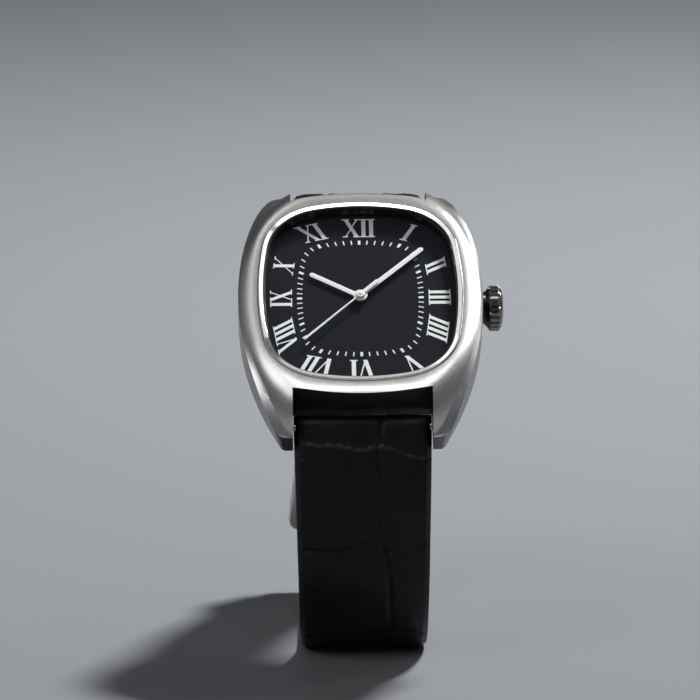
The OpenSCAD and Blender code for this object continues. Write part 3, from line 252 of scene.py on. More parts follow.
def strapLeather():
    # calf leather embossed with large scales and plated: black, with a low waxy sheen in fine pores
    material, tree, surface = newMaterial("embossedCalf", "#0f1013", 0.46, Specular_IOR_Level=0.22)
    place = addNode(tree, "ShaderNodeUVMap", uv_map="strapMm").outputs["UV"]

    def spots(scale, detail, rough):
        return addNode(tree, "ShaderNodeTexNoise", {
            "Vector": place, "Scale": scale, "Detail": detail, "Roughness": rough}).outputs["Fac"]

    pores = addNode(tree, "ShaderNodeTexVoronoi", {"Vector": place, "Scale": 26.0, "Randomness": 1.0})
    follow(tree, surface, spots(1.6, 3.0, 0.55), tones=("#0f1013", "#17181c"), low=0.35)
    follow(tree, surface, spots(14.0, 5.0, 0.62), gloss=(0.38, 0.56), relief=(0.05, 0.55))
    follow(tree, surface, pores.outputs["Distance"], relief=(0.03, 0.4))
    return material


def liningLeather():
    # nubuck lining, sanded: matte and a touch warmer than the strap's face
    return grained("sandedNubuck", "#2b2725", 0.85, (5200, 4, 0.7),
                   shader={"Sheen_Weight": 0.15, "Sheen_Roughness": 0.5},
                   tones=("#241f1d", "#383331"), relief=(0.04, 0.6))


def workedMetal(name, dark, light, roughness, scale=4000):
    # turned, drawn or stamped small parts: fine tool marks in one tone
    return grained(name, light, roughness, (scale, 3, 0.6, (1, 0.3, 1)), 1.0,
                   tones=(dark, light), relief=(0.008, 0.5))


def mouldedPlastic(name, dark, light, roughness):
    # moulded or coated parts: a fine mould texture
    return grained(name, light, roughness, (3000,), tones=(dark, light), relief=(0.01, 0.5))


satin = satinSteel()
flank = flankSteelPaintedShade()
# the wall steel's dark colour is painted shade
blasted = wallSteelPaintedShade()
buffed = polishedSteel()
crownSteel = crownSteelPaintedShade()
glass = crystalGlass()
lacquer = dialLacquer()
glossBlack = rehautBlack()
ink = printInk()
silver = handSilver()
leather = strapLeather()
lining = liningLeather()
springSteel = workedMetal("drawnSpringSteel", "#a9a9a8", "#c9c8c6", 0.25)
brass = workedMetal("turnedBrass", "#a9853f", "#c9a456", 0.28)
nickel = workedMetal("nickelPlatedBrass", "#a8a49c", "#c4c0b8", 0.3, 2500)
copper = workedMetal("enamelledCopperWire", "#7d3d1c", "#a8572b", 0.35, 6000)
magnet = workedMetal("sinteredMagnet", "#2b2b2e", "#3f3f43", 0.55, 6000)
board = mouldedPlastic("greenSolderMask", "#0e3a22", "#14502f", 0.45)
holder = mouldedPlastic("whiteAcetal", "#c9c9c5", "#dcdcd8", 0.55)
seal = mouldedPlastic("nitrileRubber", "#0e0e0f", "#17171a", 0.7)
print("materials made")


# meshes: pieces are built in millimetres and placed by a matrix

def mendMesh(mesh, weld=0, outward=False, smooth=False, crease=None):
    # crease keeps the edges over that angle sharp
    shape = bmesh.new()
    shape.from_mesh(mesh)
    if weld:
        bmesh.ops.remove_doubles(shape, verts=shape.verts, dist=weld)
    if outward:
        bmesh.ops.recalc_face_normals(shape, faces=shape.faces)
    if smooth:
        for face in shape.faces:
            face.smooth = True
    for edge in shape.edges if crease else ():
        if len(edge.link_faces) == 2 and edge.calc_face_angle(0) > math.radians(crease):
            edge.smooth = False
    shape.to_mesh(mesh)
    shape.free()


def roundEdges(piece, width, segments, angle=32):
    rounding = piece.modifiers.new("edgeRound", "BEVEL")
    rounding.width, rounding.segments = width * mm, segments
    rounding.limit_method, rounding.angle_limit = "ANGLE", math.radians(angle)
    rounding.harden_normals = True


def evaluatedMesh(item):
    bpy.context.view_layer.update()
    graph = bpy.context.evaluated_depsgraph_get()
    return bpy.data.meshes.new_from_object(item.evaluated_get(graph))


def dress(name, mesh, body, node):
    piece = addObject(name, mesh)
    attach(piece, body)
    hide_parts(node)
    return piece


def makePiece(name, verts, faces, material, body, place, slot, node, uvs=None, bevel=None, weld=0.0005):
    mesh = bpy.data.meshes.new(name)
    mesh.from_pydata(verts, [], faces)
    if uvs is not None:
        layer = mesh.uv_layers.new(name="strapMm")
        for loop in mesh.loops:
            layer.data[loop.index].uv = uvs[loop.vertex_index]
    mendMesh(mesh, weld, outward=True, smooth=True, crease=32)
    mesh.transform(place)
    mesh.materials.append(material)
    piece = dress(name, mesh, body, node)
    if bevel:
        roundEdges(piece, *bevel)
    return piece


def ringFaces(rings, count, closedLoop=False):
    # the faces of a tube of rings, capped at both ends or joined into a loop
    faces = []
    for r in range(rings if closedLoop else rings - 1):
        a, b = r * count, (r + 1) % rings * count
        faces += [(a + c, a + (c + 1) % count, b + (c + 1) % count, b + c) for c in range(count)]
    if not closedLoop:
        faces.append(tuple(range(count - 1, -1, -1)))
        faces.append(tuple((rings - 1) * count + c for c in range(count)))
    return faces


def arcPoints(centre, radius, start, end, steps, skip=0):
    # points along an arc from one angle to another, in radians, both ends included unless skipped
    turns = (start + (end - start) * i / steps for i in range(skip, steps + 1))
    return [(centre[0] + radius * math.cos(a), centre[1] + radius * math.sin(a)) for a in turns]


def mirrored(half):
    # closes a half outline, which starts and ends on the axis, with its mirror image
    return half + [(-x, y) for x, y in reversed(half[1:-1])]


# cushion outlines: long side arcs, end arcs and corner arcs, drawn parallel by an offset

class Outline:
    def __init__(self, halfWidth, halfHeight, sideRadius, endRadius, cornerRadius):
        self.w, self.h, self.rs, self.re, self.rc = halfWidth, halfHeight, sideRadius, endRadius, cornerRadius
        sideX, endY = self.w - self.rs, self.h - self.re
        ra, rb = self.rs - self.rc, self.re - self.rc
        d = math.hypot(sideX, endY)
        along = (ra * ra - rb * rb + d * d) / (2 * d)
        off = math.sqrt(ra * ra - along * along)
        ux, uy = -sideX / d, endY / d
        self.corner = (sideX + along * ux - off * uy, along * uy + off * ux)
        self.sideAngle = math.atan2(self.corner[1], self.corner[0] - sideX)
        self.endAngle = math.atan2(self.corner[1] - endY, self.corner[0])

    def grown(self, d):
        return Outline(*(size + d for size in (self.w, self.h, self.rs, self.re, self.rc)))

    def points(self, steps):
        # all round from 3 o'clock, as (x, y, normal x, normal y)
        arcs = (((self.w - self.rs, 0), self.rs, 0, self.sideAngle),
                (self.corner, self.rc, self.sideAngle, self.endAngle),
                ((0, self.h - self.re), self.re, self.endAngle, math.pi / 2))
        quarter = []
        for (cx, cy), r, a0, a1 in arcs:
            turns = (a0 + (a1 - a0) * i / steps for i in range(steps))
            quarter += [(cx + r * math.cos(a), cy + r * math.sin(a), math.cos(a), math.sin(a)) for a in turns]
        upper = quarter + [(0, self.h, 0, 1)] + [(-x, y, -nx, ny) for x, y, nx, ny in reversed(quarter)]
        return upper + [(x, -y, nx, -ny) for x, y, nx, ny in reversed(upper[1:-1])]

    def distance(self, x, y):
        # how far outside the outline a point lies, negative inside
        x, y = abs(x), abs(y)
        if math.atan2(y, x - self.w + self.rs) <= self.sideAngle:
            return math.hypot(x - self.w + self.rs, y) - self.rs
        if math.atan2(y - self.h + self.re, x) >= self.endAngle:
            return math.hypot(x, y - self.h + self.re) - self.re
        return math.hypot(x - self.corner[0], y - self.corner[1]) - self.rc

    def onRay(self, angle):
        # the outline's point in the first quarter on the ray at this angle from +X
        low, high = 0.0, 60.0
        c, s = math.cos(angle), math.sin(angle)
        for _ in range(40):
            r = (low + high) / 2
            low, high = (r, high) if self.distance(r * c, r * s) < 0 else (low, r)
        return low * c, low * s


opening = Outline(halfWidth=15.55, halfHeight=18.1, sideRadius=61.5, endRadius=34.8, cornerRadius=9.4)


def bandPiece(name, section, material, slot, node, bevel):
    # closed band round the opening, its section given as (offset, height)
    points = opening.points(26)
    verts = [(x + d * nx, y + d * ny, z) for d, z in section for x, y, nx, ny in points]
    faces = ringFaces(len(section), len(points), closedLoop=True)
    makePiece(name, verts, faces, material, "watch", headPlace, slot, node, bevel=bevel)


# the case: a satin top that domes down to a crisp ridge, straight flanks and four lugs

case = {
    "halfWidth": 19.5,
    "halfLength": 25.5,
    "sideRadius": 51.02,
    "tipCorner": 1.0,
    "ridgeHalfWidth": 19.2,   # the ridge between the top and the flank's chamfer
    "ridgeRadius": 46.32,
    "ridgeCorner": 0.5,
    "edgeRadius": 58.02,      # the chamfer's foot, fuller and with rounder corners than the underside
    "edgeCorner": 3.0,
    "edgeDrop": 0.35,
    "edgeRound": 0.13,
    "shoulderRise": 1.0,
    "lugTopDrop": 3.9,
    "lugCurve": 4,
    "lugGap": 22.0,
    "lugBottomDrop": 7.2,
    "bodyBottomDrop": 5.8,
    "underCurve": 2.5,
    "top": 1.9,
    "domePower": 2.2,
    "domeBlend": 1.5,         # how softly the dome turns from the side's ridge to the lug's end
    "seat": 0.9,
    "seatFloor": 1.4,
    "endY": 21.2,
    "endRadius": 44.0,
    "wallFoot": (19.0, -6.1),
    "wallSlope": 2.3,
    "steps": {"end": 24, "lug": 6, "side": 44, "lugSide": 14, "corner": 5, "dome": 12},
}


def ridgeHeight(y):
    fall = (case["lugTopDrop"] + case["shoulderRise"]) * (abs(y) / case["halfLength"]) ** case["lugCurve"]
    return case["shoulderRise"] - fall


def foot(point):
    # the same point on the underside
    body, lug = case["bodyBottomDrop"], case["lugBottomDrop"]
    return (*point, -body - (lug - body) * (point[1] / case["halfLength"]) ** case["underCurve"])


def smoothLess(a, b, k):
    h = max(k - abs(a - b), 0) / k
    return min(a, b) - h * h * k / 4


def between(a, b, t):
    return tuple(p + (q - p) * t for p, q in zip(a, b))


def evenly(a, b, steps, skip=0):
    return [between(a, b, i / steps) for i in range(skip, steps + 1)]


def endArc(x):
    return case["endY"] - case["endRadius"] + math.sqrt(case["endRadius"] ** 2 - x * x)


def lugChain(width, radius, corner):
    # an outline from 3 o'clock round the lug's corner, in the same steps for each outline,
    # and its way along the lug's end to the inner edge
    steps, gap, tipY = case["steps"], case["lugGap"] / 2, case["halfLength"]
    middle, cy = width - radius, tipY - corner
    cx = middle + math.sqrt((radius - corner) ** 2 - cy ** 2)
    sideTop, lugFrom = math.atan2(cy, cx - middle), math.asin(endArc(gap) / radius)
    points = arcPoints((middle, 0), radius, 0, lugFrom, steps["side"])
    points += arcPoints((middle, 0), radius, lugFrom, sideTop, steps["lugSide"], skip=1)
    points += arcPoints((cx, cy), corner, sideTop, math.pi / 2, steps["corner"], skip=1)
    return points, evenly((points[-1][0], tipY), (gap, tipY), steps["lug"], skip=1)


def caseQuarter():
    # the skin of the quarter at 1 o'clock, as faces for the satin finish and for the flank and wall finishes,
    # whose darker steel is painted shade
    steps, gap, tipY = case["steps"], case["lugGap"] / 2, case["halfLength"]
    seatLine, ridgeR = opening.grown(case["seat"]), case["ridgeRadius"]
    centreX = case["ridgeHalfWidth"] - ridgeR
    satinFaces, flankFaces, wallFaces = [], [], []

    def raised(x, y):
        inward = max(seatLine.distance(x, y), 0)
        outward = max(smoothLess(ridgeR - math.hypot(x - centreX, y), tipY - y, case["domeBlend"]), 0)
        t = inward / max(inward + outward, 1e-6)
        return (x, y, case["top"] + (ridgeHeight(y) - case["top"]) * t ** case["domePower"])

    def sheet(rows, into):
        for a, b in zip(rows, rows[1:]):
            into += [[a[i], a[i + 1], b[i + 1], b[i]] for i in range(len(a) - 1)]

    def spread(a, b, count):
        return [[between(p, q, k / count) for p, q in zip(a, b)] for k in range(count + 1)]

    side = steps["side"]
    ridge, ridgeTip = lugChain(case["ridgeHalfWidth"], ridgeR, case["ridgeCorner"])
    edge, edgeTip = lugChain(case["halfWidth"], case["edgeRadius"], case["edgeCorner"])
    base, baseTip = lugChain(case["halfWidth"], case["sideRadius"], case["tipCorner"])
    tops = [raised(*p) for p in ridge + ridgeTip]
    edges = [(*p, ridgeHeight(p[1]) - case["edgeDrop"]) for p in edge + edgeTip]
    feet = [foot(p) for p in base + baseTip]

    across = [gap * i / steps["end"] for i in range(steps["end"] + 1)]
    topOuter = [(x, endArc(x)) for x in across]
    corner = topOuter[-1]
    topOuter += evenly(corner, ridge[side], steps["lug"], skip=1) + ridge[side - 1::-1]
    rays = [math.atan2(y, x) for x, y in topOuter]
    inner, bore = [[outline.onRay(a) for a in rays] for outline in (seatLine, opening)]
    footY, footZ = case["wallFoot"]
    underOuter = [foot((x, footY)) for x in across]
    underOuter += evenly(underOuter[-1], feet[side], steps["lug"], skip=1) + feet[side - 1::-1]

    # top, from the ring's seat outwards, and the lug's top
    sheet([[raised(*p) for p in row] for row in spread(inner, topOuter, steps["dome"])], satinFaces)
    sheet([[raised(*q) for q in evenly((gap, p[1]), p, steps["lug"])] for p in ridge[side:]], satinFaces)
    # chamfer and flank, round the corner to the tip's inner edge
    sheet([tops, edges], satinFaces)
    sheet(spread(edges, feet, 4), flankFaces)
    # wall between the lugs, leaning in below its break
    end = topOuter[:len(across)]
    sheet([[raised(*p) for p in end], [(x, y, footZ + (y - footY) * case["wallSlope"]) for x, y in end],
           [(x, footY, footZ) for x in across], underOuter[:len(across)]], wallFaces)
    # seat, bore and underside
    boreFoot = [(*p, -case["bodyBottomDrop"]) for p in bore]
    sheet([[raised(*p) for p in inner], [(*p, case["seatFloor"]) for p in inner],
           [(*p, case["seatFloor"]) for p in bore], boreFoot], flankFaces)
    sheet(spread(boreFoot, underOuter, 4), flankFaces)
    lugFeet = [foot(p) for p in base[side:]]
    start, span = lugFeet[0][1], lugFeet[-1][1] - lugFeet[0][1]
    innerFeet = [foot((gap, footY + (tipY - footY) * (p[1] - start) / span)) for p in lugFeet]
    under = [evenly(a, b, steps["lug"]) for a, b in zip(innerFeet, lugFeet)]
    under[-1] = [foot(p) for p in baseTip[::-1] + base[-1:]]
    sheet(under, flankFaces)
    # inner face of the lug
    face = [raised(gap, p[1]) for p in ridge[side:]] + evenly(edges[-1], feet[-1], 4)[:-1] + innerFeet[::-1]
    face += [(gap, footY, footZ), (gap, corner[1], footZ + (corner[1] - footY) * case["wallSlope"])]
    return satinFaces, flankFaces, wallFaces + [face]


def buildCase():
    finishes = caseQuarter()
    verts, lookup, faces, kinds = [], {}, [], []

    def vertex(p):
        index = lookup.setdefault(tuple(round(c, 3) + 0.0 for c in p), len(verts))
        if index == len(verts):
            verts.append(p)
        return index

    for sx, sy in ((1, 1), (1, -1), (-1, 1), (-1, -1)):
        for kind, quarter in enumerate(finishes):
            for face in quarter:
                corners = [vertex((x * sx, y * sy, z)) for x, y, z in face]
                corners = [c for i, c in enumerate(corners) if c != corners[i - 1]]
                if len(corners) > 2:
                    faces.append(corners if sx * sy > 0 else corners[::-1])
                    kinds.append(kind)
    mesh = bpy.data.meshes.new("caseShell")
    mesh.from_pydata(verts, [], faces)
    # the flank and wall materials are darker copies of the steel: painted shade
    for material in (satin, flank, blasted):
        mesh.materials.append(material)
    mesh.polygons.foreach_set("material_index", kinds)
    mendMesh(mesh, outward=True, smooth=True)
    mesh.transform(headPlace)
    piece = dress("caseShell", mesh, "watch", "case_middle")
    roundEdges(piece, case["edgeRound"], 3, 28)
    print("case made", len(verts), "vertices")


buildCase()


# ring, crystal, gasket and the black wall under the crystal

ring = {"width": 0.85, "outerTop": 1.9, "top": 2.15, "floor": 1.4, "innerDrop": 0.16, "flat": 0.13,
        "lean": 0.09}
blackWall = {"gap": 0.05, "foot": 0.45, "top": 0.35, "height": 1.4}
gasket = {"wall": 0.2, "floor": 1.4, "top": 1.88}
flatEnd = ring["width"] - ring["lean"]
bandPiece("polishedRing", [
    (ring["width"], ring["outerTop"]), (ring["width"], ring["floor"]), (0, ring["floor"]),
    (0, ring["top"] - ring["innerDrop"]), (flatEnd - ring["flat"], ring["top"]), (flatEnd, ring["top"])],
    buffed, "polished_steel", "bezel_ring", (0.03, 3, 10))
bandPiece("crystalSeal", [
    (0, gasket["top"]), (0, gasket["floor"]),
    (-gasket["wall"], gasket["floor"]), (-gasket["wall"], gasket["top"])],
    seal, "seal_rubber", "crystal_gasket", (0.04, 2))
bandPiece("dialWall", [
    (-blackWall["gap"], blackWall["height"]), (-blackWall["gap"], 0), (-blackWall["foot"], 0),
    (-blackWall["top"], blackWall["height"])],
    glossBlack, "black_plastic", "rehaut_ring", (0.04, 2))

crystal = {"inset": 0.2, "floor": 1.4, "edge": 2.2, "dome": 0.4, "rings": 14}


def buildCrystal():
    line = opening.grown(-crystal["inset"]).points(20)
    spans = [k / crystal["rings"] for k in range(crystal["rings"] + 1)]
    levels = [(t, crystal["edge"] + crystal["dome"] * (1 - t * t)) for t in spans] + [(1, crystal["floor"])]
    verts = [(x * t, y * t, z) for t, z in levels for x, y, _, _ in line]
    faces = ringFaces(len(levels), len(line))
    makePiece("crystalDome", verts, faces, glass, "watch", headPlace, "crystal", "crystal", bevel=(0.08, 3))


buildCrystal()
print("ring and crystal made")


# minute ticks, placed on the track by Geometry Nodes

track = {
    "outline": {"halfWidth": 9.7, "halfHeight": 11.85, "sideRadius": 46.7, "endRadius": 29.6,
                "cornerRadius": 3.75},
    "length": 0.85, "width": 0.2, "hourWidth": 0.42, "thick": 0.05,
}


def tickTree(material):
    tree = bpy.data.node_groups.new("minuteTicks", "GeometryNodeTree")
    face = tree.interface
    face.new_socket("Geometry", in_out="INPUT", socket_type="NodeSocketGeometry")
    sizes = {}
    for label, key in (("Tick length", "length"), ("Tick width", "width"),
                       ("Hour tick width", "hourWidth"), ("Thickness", "thick")):
        socket = face.new_socket(label, in_out="INPUT", socket_type="NodeSocketFloat")
        socket.default_value = track[key]
        sizes[socket.identifier] = track[key]
    face.new_socket("Geometry", in_out="OUTPUT", socket_type="NodeSocketGeometry")
    given = addNode(tree, "NodeGroupInput").outputs
    cube = addNode(tree, "GeometryNodeMeshCube")
    isHour, turn = [addNode(tree, "GeometryNodeInputNamedAttribute", {"Name": name}, data_type="FLOAT")
                    for name in ("isHour", "turn")]
    width = addNode(tree, "ShaderNodeMix", {
        "Factor": isHour.outputs["Attribute"], "A": given["Tick width"], "B": given["Hour tick width"]},
        data_type="FLOAT")
    scale = addNode(tree, "ShaderNodeCombineXYZ", {
        "X": width.outputs["Result"], "Y": given["Tick length"], "Z": given["Thickness"]})
    spin = addNode(tree, "ShaderNodeCombineXYZ", {"Z": turn.outputs["Attribute"]})
    spread = addNode(tree, "GeometryNodeInstanceOnPoints", {
        "Points": given["Geometry"], "Instance": cube.outputs["Mesh"],
        "Rotation": spin.outputs["Vector"], "Scale": scale.outputs["Vector"]})
    real = addNode(tree, "GeometryNodeRealizeInstances", {"Geometry": spread.outputs["Instances"]})
    painted = addNode(tree, "GeometryNodeSetMaterial", {
        "Geometry": real.outputs["Geometry"], "Material": material})
    addNode(tree, "NodeGroupOutput", {"Geometry": painted.outputs["Geometry"]})
    return tree, sizes


def growPoints(name, points, attributes, tree, sizes):
    # turns a cloud of points into a plain mesh through a Geometry Nodes tree
    mesh = bpy.data.meshes.new(name + "Points")
    mesh.from_pydata(points, [], [])
    for label, values in attributes.items():
        mesh.attributes.new(label, "FLOAT", "POINT").data.foreach_set("value", values)
    cloud = addObject(name + "Points", mesh)
    grow = cloud.modifiers.new("grow", "NODES")
    grow.node_group = tree
    for identifier, value in sizes.items():
        grow[identifier] = value
    result = evaluatedMesh(cloud)
    bpy.data.objects.remove(cloud)
    return result


def buildTicks():
    line = Outline(**track["outline"])
    points, turns, hours = [], [], []
    for i in range(60):
        angle = math.radians(90 - 6 * i)
        c, s = math.cos(angle), math.sin(angle)
        x, y = line.onRay(math.atan2(abs(s), abs(c)))
        points.append((math.copysign(x, c), math.copysign(y, s), track["thick"] / 2))
        turns.append(angle - math.pi / 2)
        hours.append(1.0 if i % 5 == 0 else 0.0)
    mesh = growPoints("minuteTicks", points, {"turn": turns, "isHour": hours}, *tickTree(ink))
    mesh.transform(headPlace)
    dress("minuteTicks", mesh, "watch", "minute_track")


buildTicks()
print("minute ticks made")


# hands: drawn straight up, then turned to their place

hands = {
    "hour": {"length": 9.4, "width": 0.85, "angle": 301.5, "z": 0.35, "hub": 1.05},
    "minute": {"length": 14.2, "width": 0.85, "angle": 45.5, "z": 0.62, "hub": 1.12},
    "second": {"length": 13.0, "root": 0.26, "tip": 0.4, "angle": 224.0, "z": 0.89, "hub": 0.76,
               "hubRise": 0.17, "neck": 1.1, "tail": 4.1, "tailFrom": 0.9, "tailWidth": 0.66, "roof": 0.04},
    "thick": 0.15,
    "roof": 0.05,           # how far the middle of a blade stands above its edges
    "rootAt": 0.5,
    "bore": 0.62,
    "edge": 0.03,
}


def bladeMesh(stations, z, roof):
    # stations are (distance from the axis, half width); the blade has a low roof along its middle
    top, shoulder = z + hands["thick"], z + hands["thick"] - roof
    verts = []
    for y, w in stations:
        verts += [(-w, y, z), (-w, y, shoulder), (0, y, top), (w, y, shoulder), (w, y, z)]
    return verts, ringFaces(len(stations), 5)


def discMesh(radii, n=48):
    # turned part as (radius, height) from the bottom up, closed at both ends
    turns = [2 * math.pi * i / n for i in range(n)]
    verts = [(r * math.cos(a), r * math.sin(a), z) for r, z in radii for a in turns]
    return verts, ringFaces(len(radii), n)


def joined(*parts):
    verts, faces = [], []
    for v, f in parts:
        faces += [tuple(i + len(verts) for i in item) for item in f]
        verts += v
    return verts, faces


def makeHand(name, key, parts, body, node):
    place = headPlace @ Matrix.Rotation(-math.radians(hands[key]["angle"]), 4, "Z")
    makePiece(name, *joined(*parts), silver, body, place, "hand_metal", node, bevel=(0.02, 2))


def buildHands():
    edge = hands["edge"]
    for key, body, node in (("hour", "hours", "hour_hand"), ("minute", "minutes", "minute_hand")):
        h = hands[key]
        half, hub, z, top = h["width"] / 2, h["hub"], h["z"], h["z"] + hands["thick"]
        tip = arcPoints((h["length"] - half, 0), half, math.pi / 2, 0, 7, skip=1)
        stations = [(hands["rootAt"], half), (h["length"] - half, half)] + [(y, max(w, 0.02)) for y, w in tip]
        disc = discMesh([(hub - edge, z), (hub, z + edge), (hub, top - edge),
                         (hub - 0.04, top), (hands["bore"], top)])
        makeHand(key + "Hand", key, (bladeMesh(stations, z, hands["roof"]), disc), body, node)
    h = hands["second"]
    root, tail, hub, z = h["root"] / 2, h["tailWidth"] / 2, h["hub"], h["z"]
    runs = ([(0, root), (h["length"], h["tip"] / 2)], [(-h["neck"], root), (0, root)],
            [(-h["tail"], tail), (-h["tailFrom"], tail)])
    top = z + hands["thick"] + h["hubRise"]
    # the hub ends in the small boss of its pivot
    disc = discMesh([(hub - edge, z), (hub, z + edge), (hub, top - 0.1), (hub - 0.1, top - 0.02),
                     (0.3, top), (0.28, top + 0.05), (0.2, top + 0.09), (0.05, top + 0.1)])
    blades = [bladeMesh(run, z, h["roof"]) for run in runs]
    makeHand("secondHand", "second", (*blades, disc), "seconds", "second_hand")


buildHands()
print("hands made")


# crown: a flared neck, a band of rounded flutes and a low dome

crown = {"neckRadius": 2.55, "neck": 0.95, "radius": 3.65, "band": 1.6, "dome": 0.75, "domeInset": 0.42,
         "domeFoot": 0.16, "flutes": 24, "fluteDepth": 0.3, "bore": 1.45, "boreDepth": 2.1, "perFlute": 10}


def buildCrown():
    place = Matrix.Translation(joints["crown_turn"]["pos_m"]) @ Matrix.Scale(mm, 4)
    r, neck, neckR, bore = crown["radius"], crown["neck"], crown["neckRadius"], crown["bore"]
    bandEnd, domeR = neck + crown["band"], r - crown["domeInset"]
    domeFoot, domeRise = bandEnd + crown["domeFoot"], crown["dome"] - crown["domeFoot"]
    # the profile as (radius, distance from the case, depth of the flutes)
    profile = [(bore, crown["boreDepth"], 0), (bore, 0, 0), (neckR, 0, 0), (neckR + 0.05, 0.2, 0),
               (neckR + 0.35, 0.5, 0), (r - 0.3, neck - 0.08, 0), (r - 0.1, neck + 0.04, 0.3)]
    profile += [(r, neck + 0.2 + (crown["band"] - 0.35) * i / 8, 1) for i in range(9)]
    profile += [(r - 0.06, bandEnd - 0.05, 0.8), (r - 0.2, bandEnd + 0.08, 0.35), (domeR, domeFoot, 0)]
    profile += [(domeR * math.cos(a), domeFoot + domeRise * math.sin(a), 0)
                for a in (math.radians(8 * i) for i in range(1, 12))]
    profile += [(0.02, bandEnd + crown["dome"], 0), (0.02, crown["boreDepth"], 0)]
    n = crown["flutes"] * crown["perFlute"]
    verts = []
    for radius, x, cut in profile:
        for a in (2 * math.pi * i / n for i in range(n)):
            wave = max(0.0, (math.cos(a * crown["flutes"]) - 0.05) / 0.95) ** 0.8
            waved = radius - crown["fluteDepth"] * cut * wave
            verts.append((x, waved * math.cos(a), waved * math.sin(a)))
    faces = ringFaces(len(profile), n, closedLoop=True)
    makePiece("flutedCrown", verts, faces, crownSteel, "winding_crown", place, "dark_steel", "crown",
              weld=0.0001)


buildCrown()
print("crown made")


# strap: one route in side view, with the two parts on it as in the solids

strap = {
    "width": 21.8, "endWidth": 18.0, "thick": 3.8, "endThick": 2.3, "lining": 0.8, "tail": 27.0,
    "tipRound": 7.0, "barY": 22.3, "barDrop": 5.5, "frontBulge": 16.0, "backBulge": 40.0,
    "restFront": 4.0, "restBack": 17.0,
    "leaveFront": (-0.34, -0.94),
    # lengths of the handles of the route's curves
    "handles": {"lug": 7.0, "front": 8.0, "rest": 4.0, "back": 14.0, "upperLug": 12.0},
    "frontZ": 17.5, "backZ": 36.0, "leaveAngle": 39.0, "pinHeight": 20.5, "pinRoll": 1.35, "soft": 0.25,
    "climb": 13.0,            # the long part rises over the buckle bar in this length
    "climbEnd": 1.5,
    "settle": 0.1,            # and falls by this much a millimetre behind it
    "taperEnd": 8.0,
    "shortExtra": 0.2,
    "holeWidth": 1.7, "holePitch": 6.5, "usedHole": -1.9, "usedLength": 2.0,
    "liningStart": 5.0, "shortLiningStart": 4.0, "liningInset": 0.04,
    "foldAngle": 84.0, "step": 0.34, "liningStep": 1.2,
}
dialHeight = dialCentre.z / mm


def inSideView(y, z):
    return np.array((y * dialUp.y + z * dialOut.y, dialHeight + y * dialUp.z + z * dialOut.z))


def bezier(p, t):
    return (1 - t) ** 3 * p[0] + 3 * t * (1 - t) ** 2 * p[1] + 3 * t * t * (1 - t) * p[2] + t ** 3 * p[3]


def strapRoute(samples=160):
    lower, upper = inSideView(-strap["barY"], -strap["barDrop"]), inSideView(strap["barY"], -strap["barDrop"])
    bend, rest = 0.552, strap["endThick"] / 2
    front = np.array((-strap["frontBulge"], strap["frontZ"]))
    restA, restB = np.array((-strap["restFront"], rest)), np.array((strap["restBack"], rest))
    back = np.array((strap["backBulge"], strap["backZ"]))
    leave = math.radians(strap["leaveAngle"])
    reach = strap["handles"]
    curves = [
        [lower, lower + reach["lug"] * np.array(strap["leaveFront"]), front + (0, reach["front"]), front],
        [front, front - (0, bend * (front[1] - rest)), restA - (bend * (restA[0] - front[0]), 0), restA],
        [restA, restA + (reach["rest"], 0), restB - (reach["rest"], 0), restB],
        [restB, restB + (bend * (back[0] - restB[0]), 0), back - (0, bend * (back[1] - rest)), back],
        [back, back + (0, reach["back"]),
         upper + reach["upperLug"] * np.array((math.cos(leave), math.sin(leave))), upper],
    ]
    points = np.array([bezier(p, i / samples) for p in curves for i in range(samples)] + [upper])
    lengths = np.concatenate([[0], np.cumsum(np.linalg.norm(np.diff(points, axis=0), axis=1))])
    return points, lengths, samples


routePoints, routeLengths, routeSamples = strapRoute()
routeEnd = routeLengths[-1]
restStart = routeLengths[2 * routeSamples]
rising = slice(3 * routeSamples, 4 * routeSamples)
pinAt = float(np.interp(strap["pinHeight"], routePoints[rising, 1], routeLengths[rising]))
tailAt = pinAt + strap["tail"]


def onRoute(s):
    return np.array([np.interp(s, routeLengths, routePoints[:, k]) for k in (0, 1)])


def routeDir(s, h=0.6):
    step = onRoute(max(s, h) + h) - onRoute(min(s, routeEnd - h) - h)
    return step / np.linalg.norm(step)


def onStrap(s, points):
    # points (across, along, outward) at the place s of the route, in the side view's own axes
    t = routeDir(s)
    p = onRoute(s) + (s - min(max(s, 0), routeEnd)) * t
    return [(x, p[0] + y * t[0] + w * t[1], p[1] + y * t[1] - w * t[0]) for x, y, w in points]


def ease(x):
    x = min(max(x, 0), 1)
    return x * x * (3 - 2 * x)


def longWidth(s):
    taper = min(max(s, 0) / (pinAt - strap["taperEnd"]), 1)
    over = max(s - tailAt + strap["tipRound"], 0) / (strap["tipRound"] + 0.5)
    return (strap["width"] + (strap["endWidth"] - strap["width"]) * taper) * math.sqrt(1 - over * over)


def shortWidth(s):
    return strap["endWidth"] + (strap["width"] - strap["endWidth"]) * (s - pinAt) / (routeEnd - pinAt)


def longThick(s):
    return strap["thick"] + (strap["endThick"] - strap["thick"]) * ease(s / restStart)


def shortThick(s):
    thin = strap["endThick"] + strap["shortExtra"]
    return strap["thick"] + (thin - strap["thick"]) * ease((routeEnd - s) / (routeEnd - pinAt))


def longOut(s):
    # how far outside the route the long part's middle runs
    pinGap = strap["pinRoll"] + strap["soft"] + strap["endThick"] / 2
    if s < pinAt:
        return pinGap * ease((s - pinAt + strap["climb"]) / (strap["climb"] - strap["climbEnd"]))
    return max(shortThick(s) / 2 + strap["soft"] + longThick(s) / 2, pinGap - (s - pinAt) * strap["settle"])


def longLevels(s):
    return longOut(s) - longThick(s) / 2, longOut(s) + longThick(s) / 2


def shortLevels(s):
    return -shortThick(s) / 2, shortThick(s) / 2


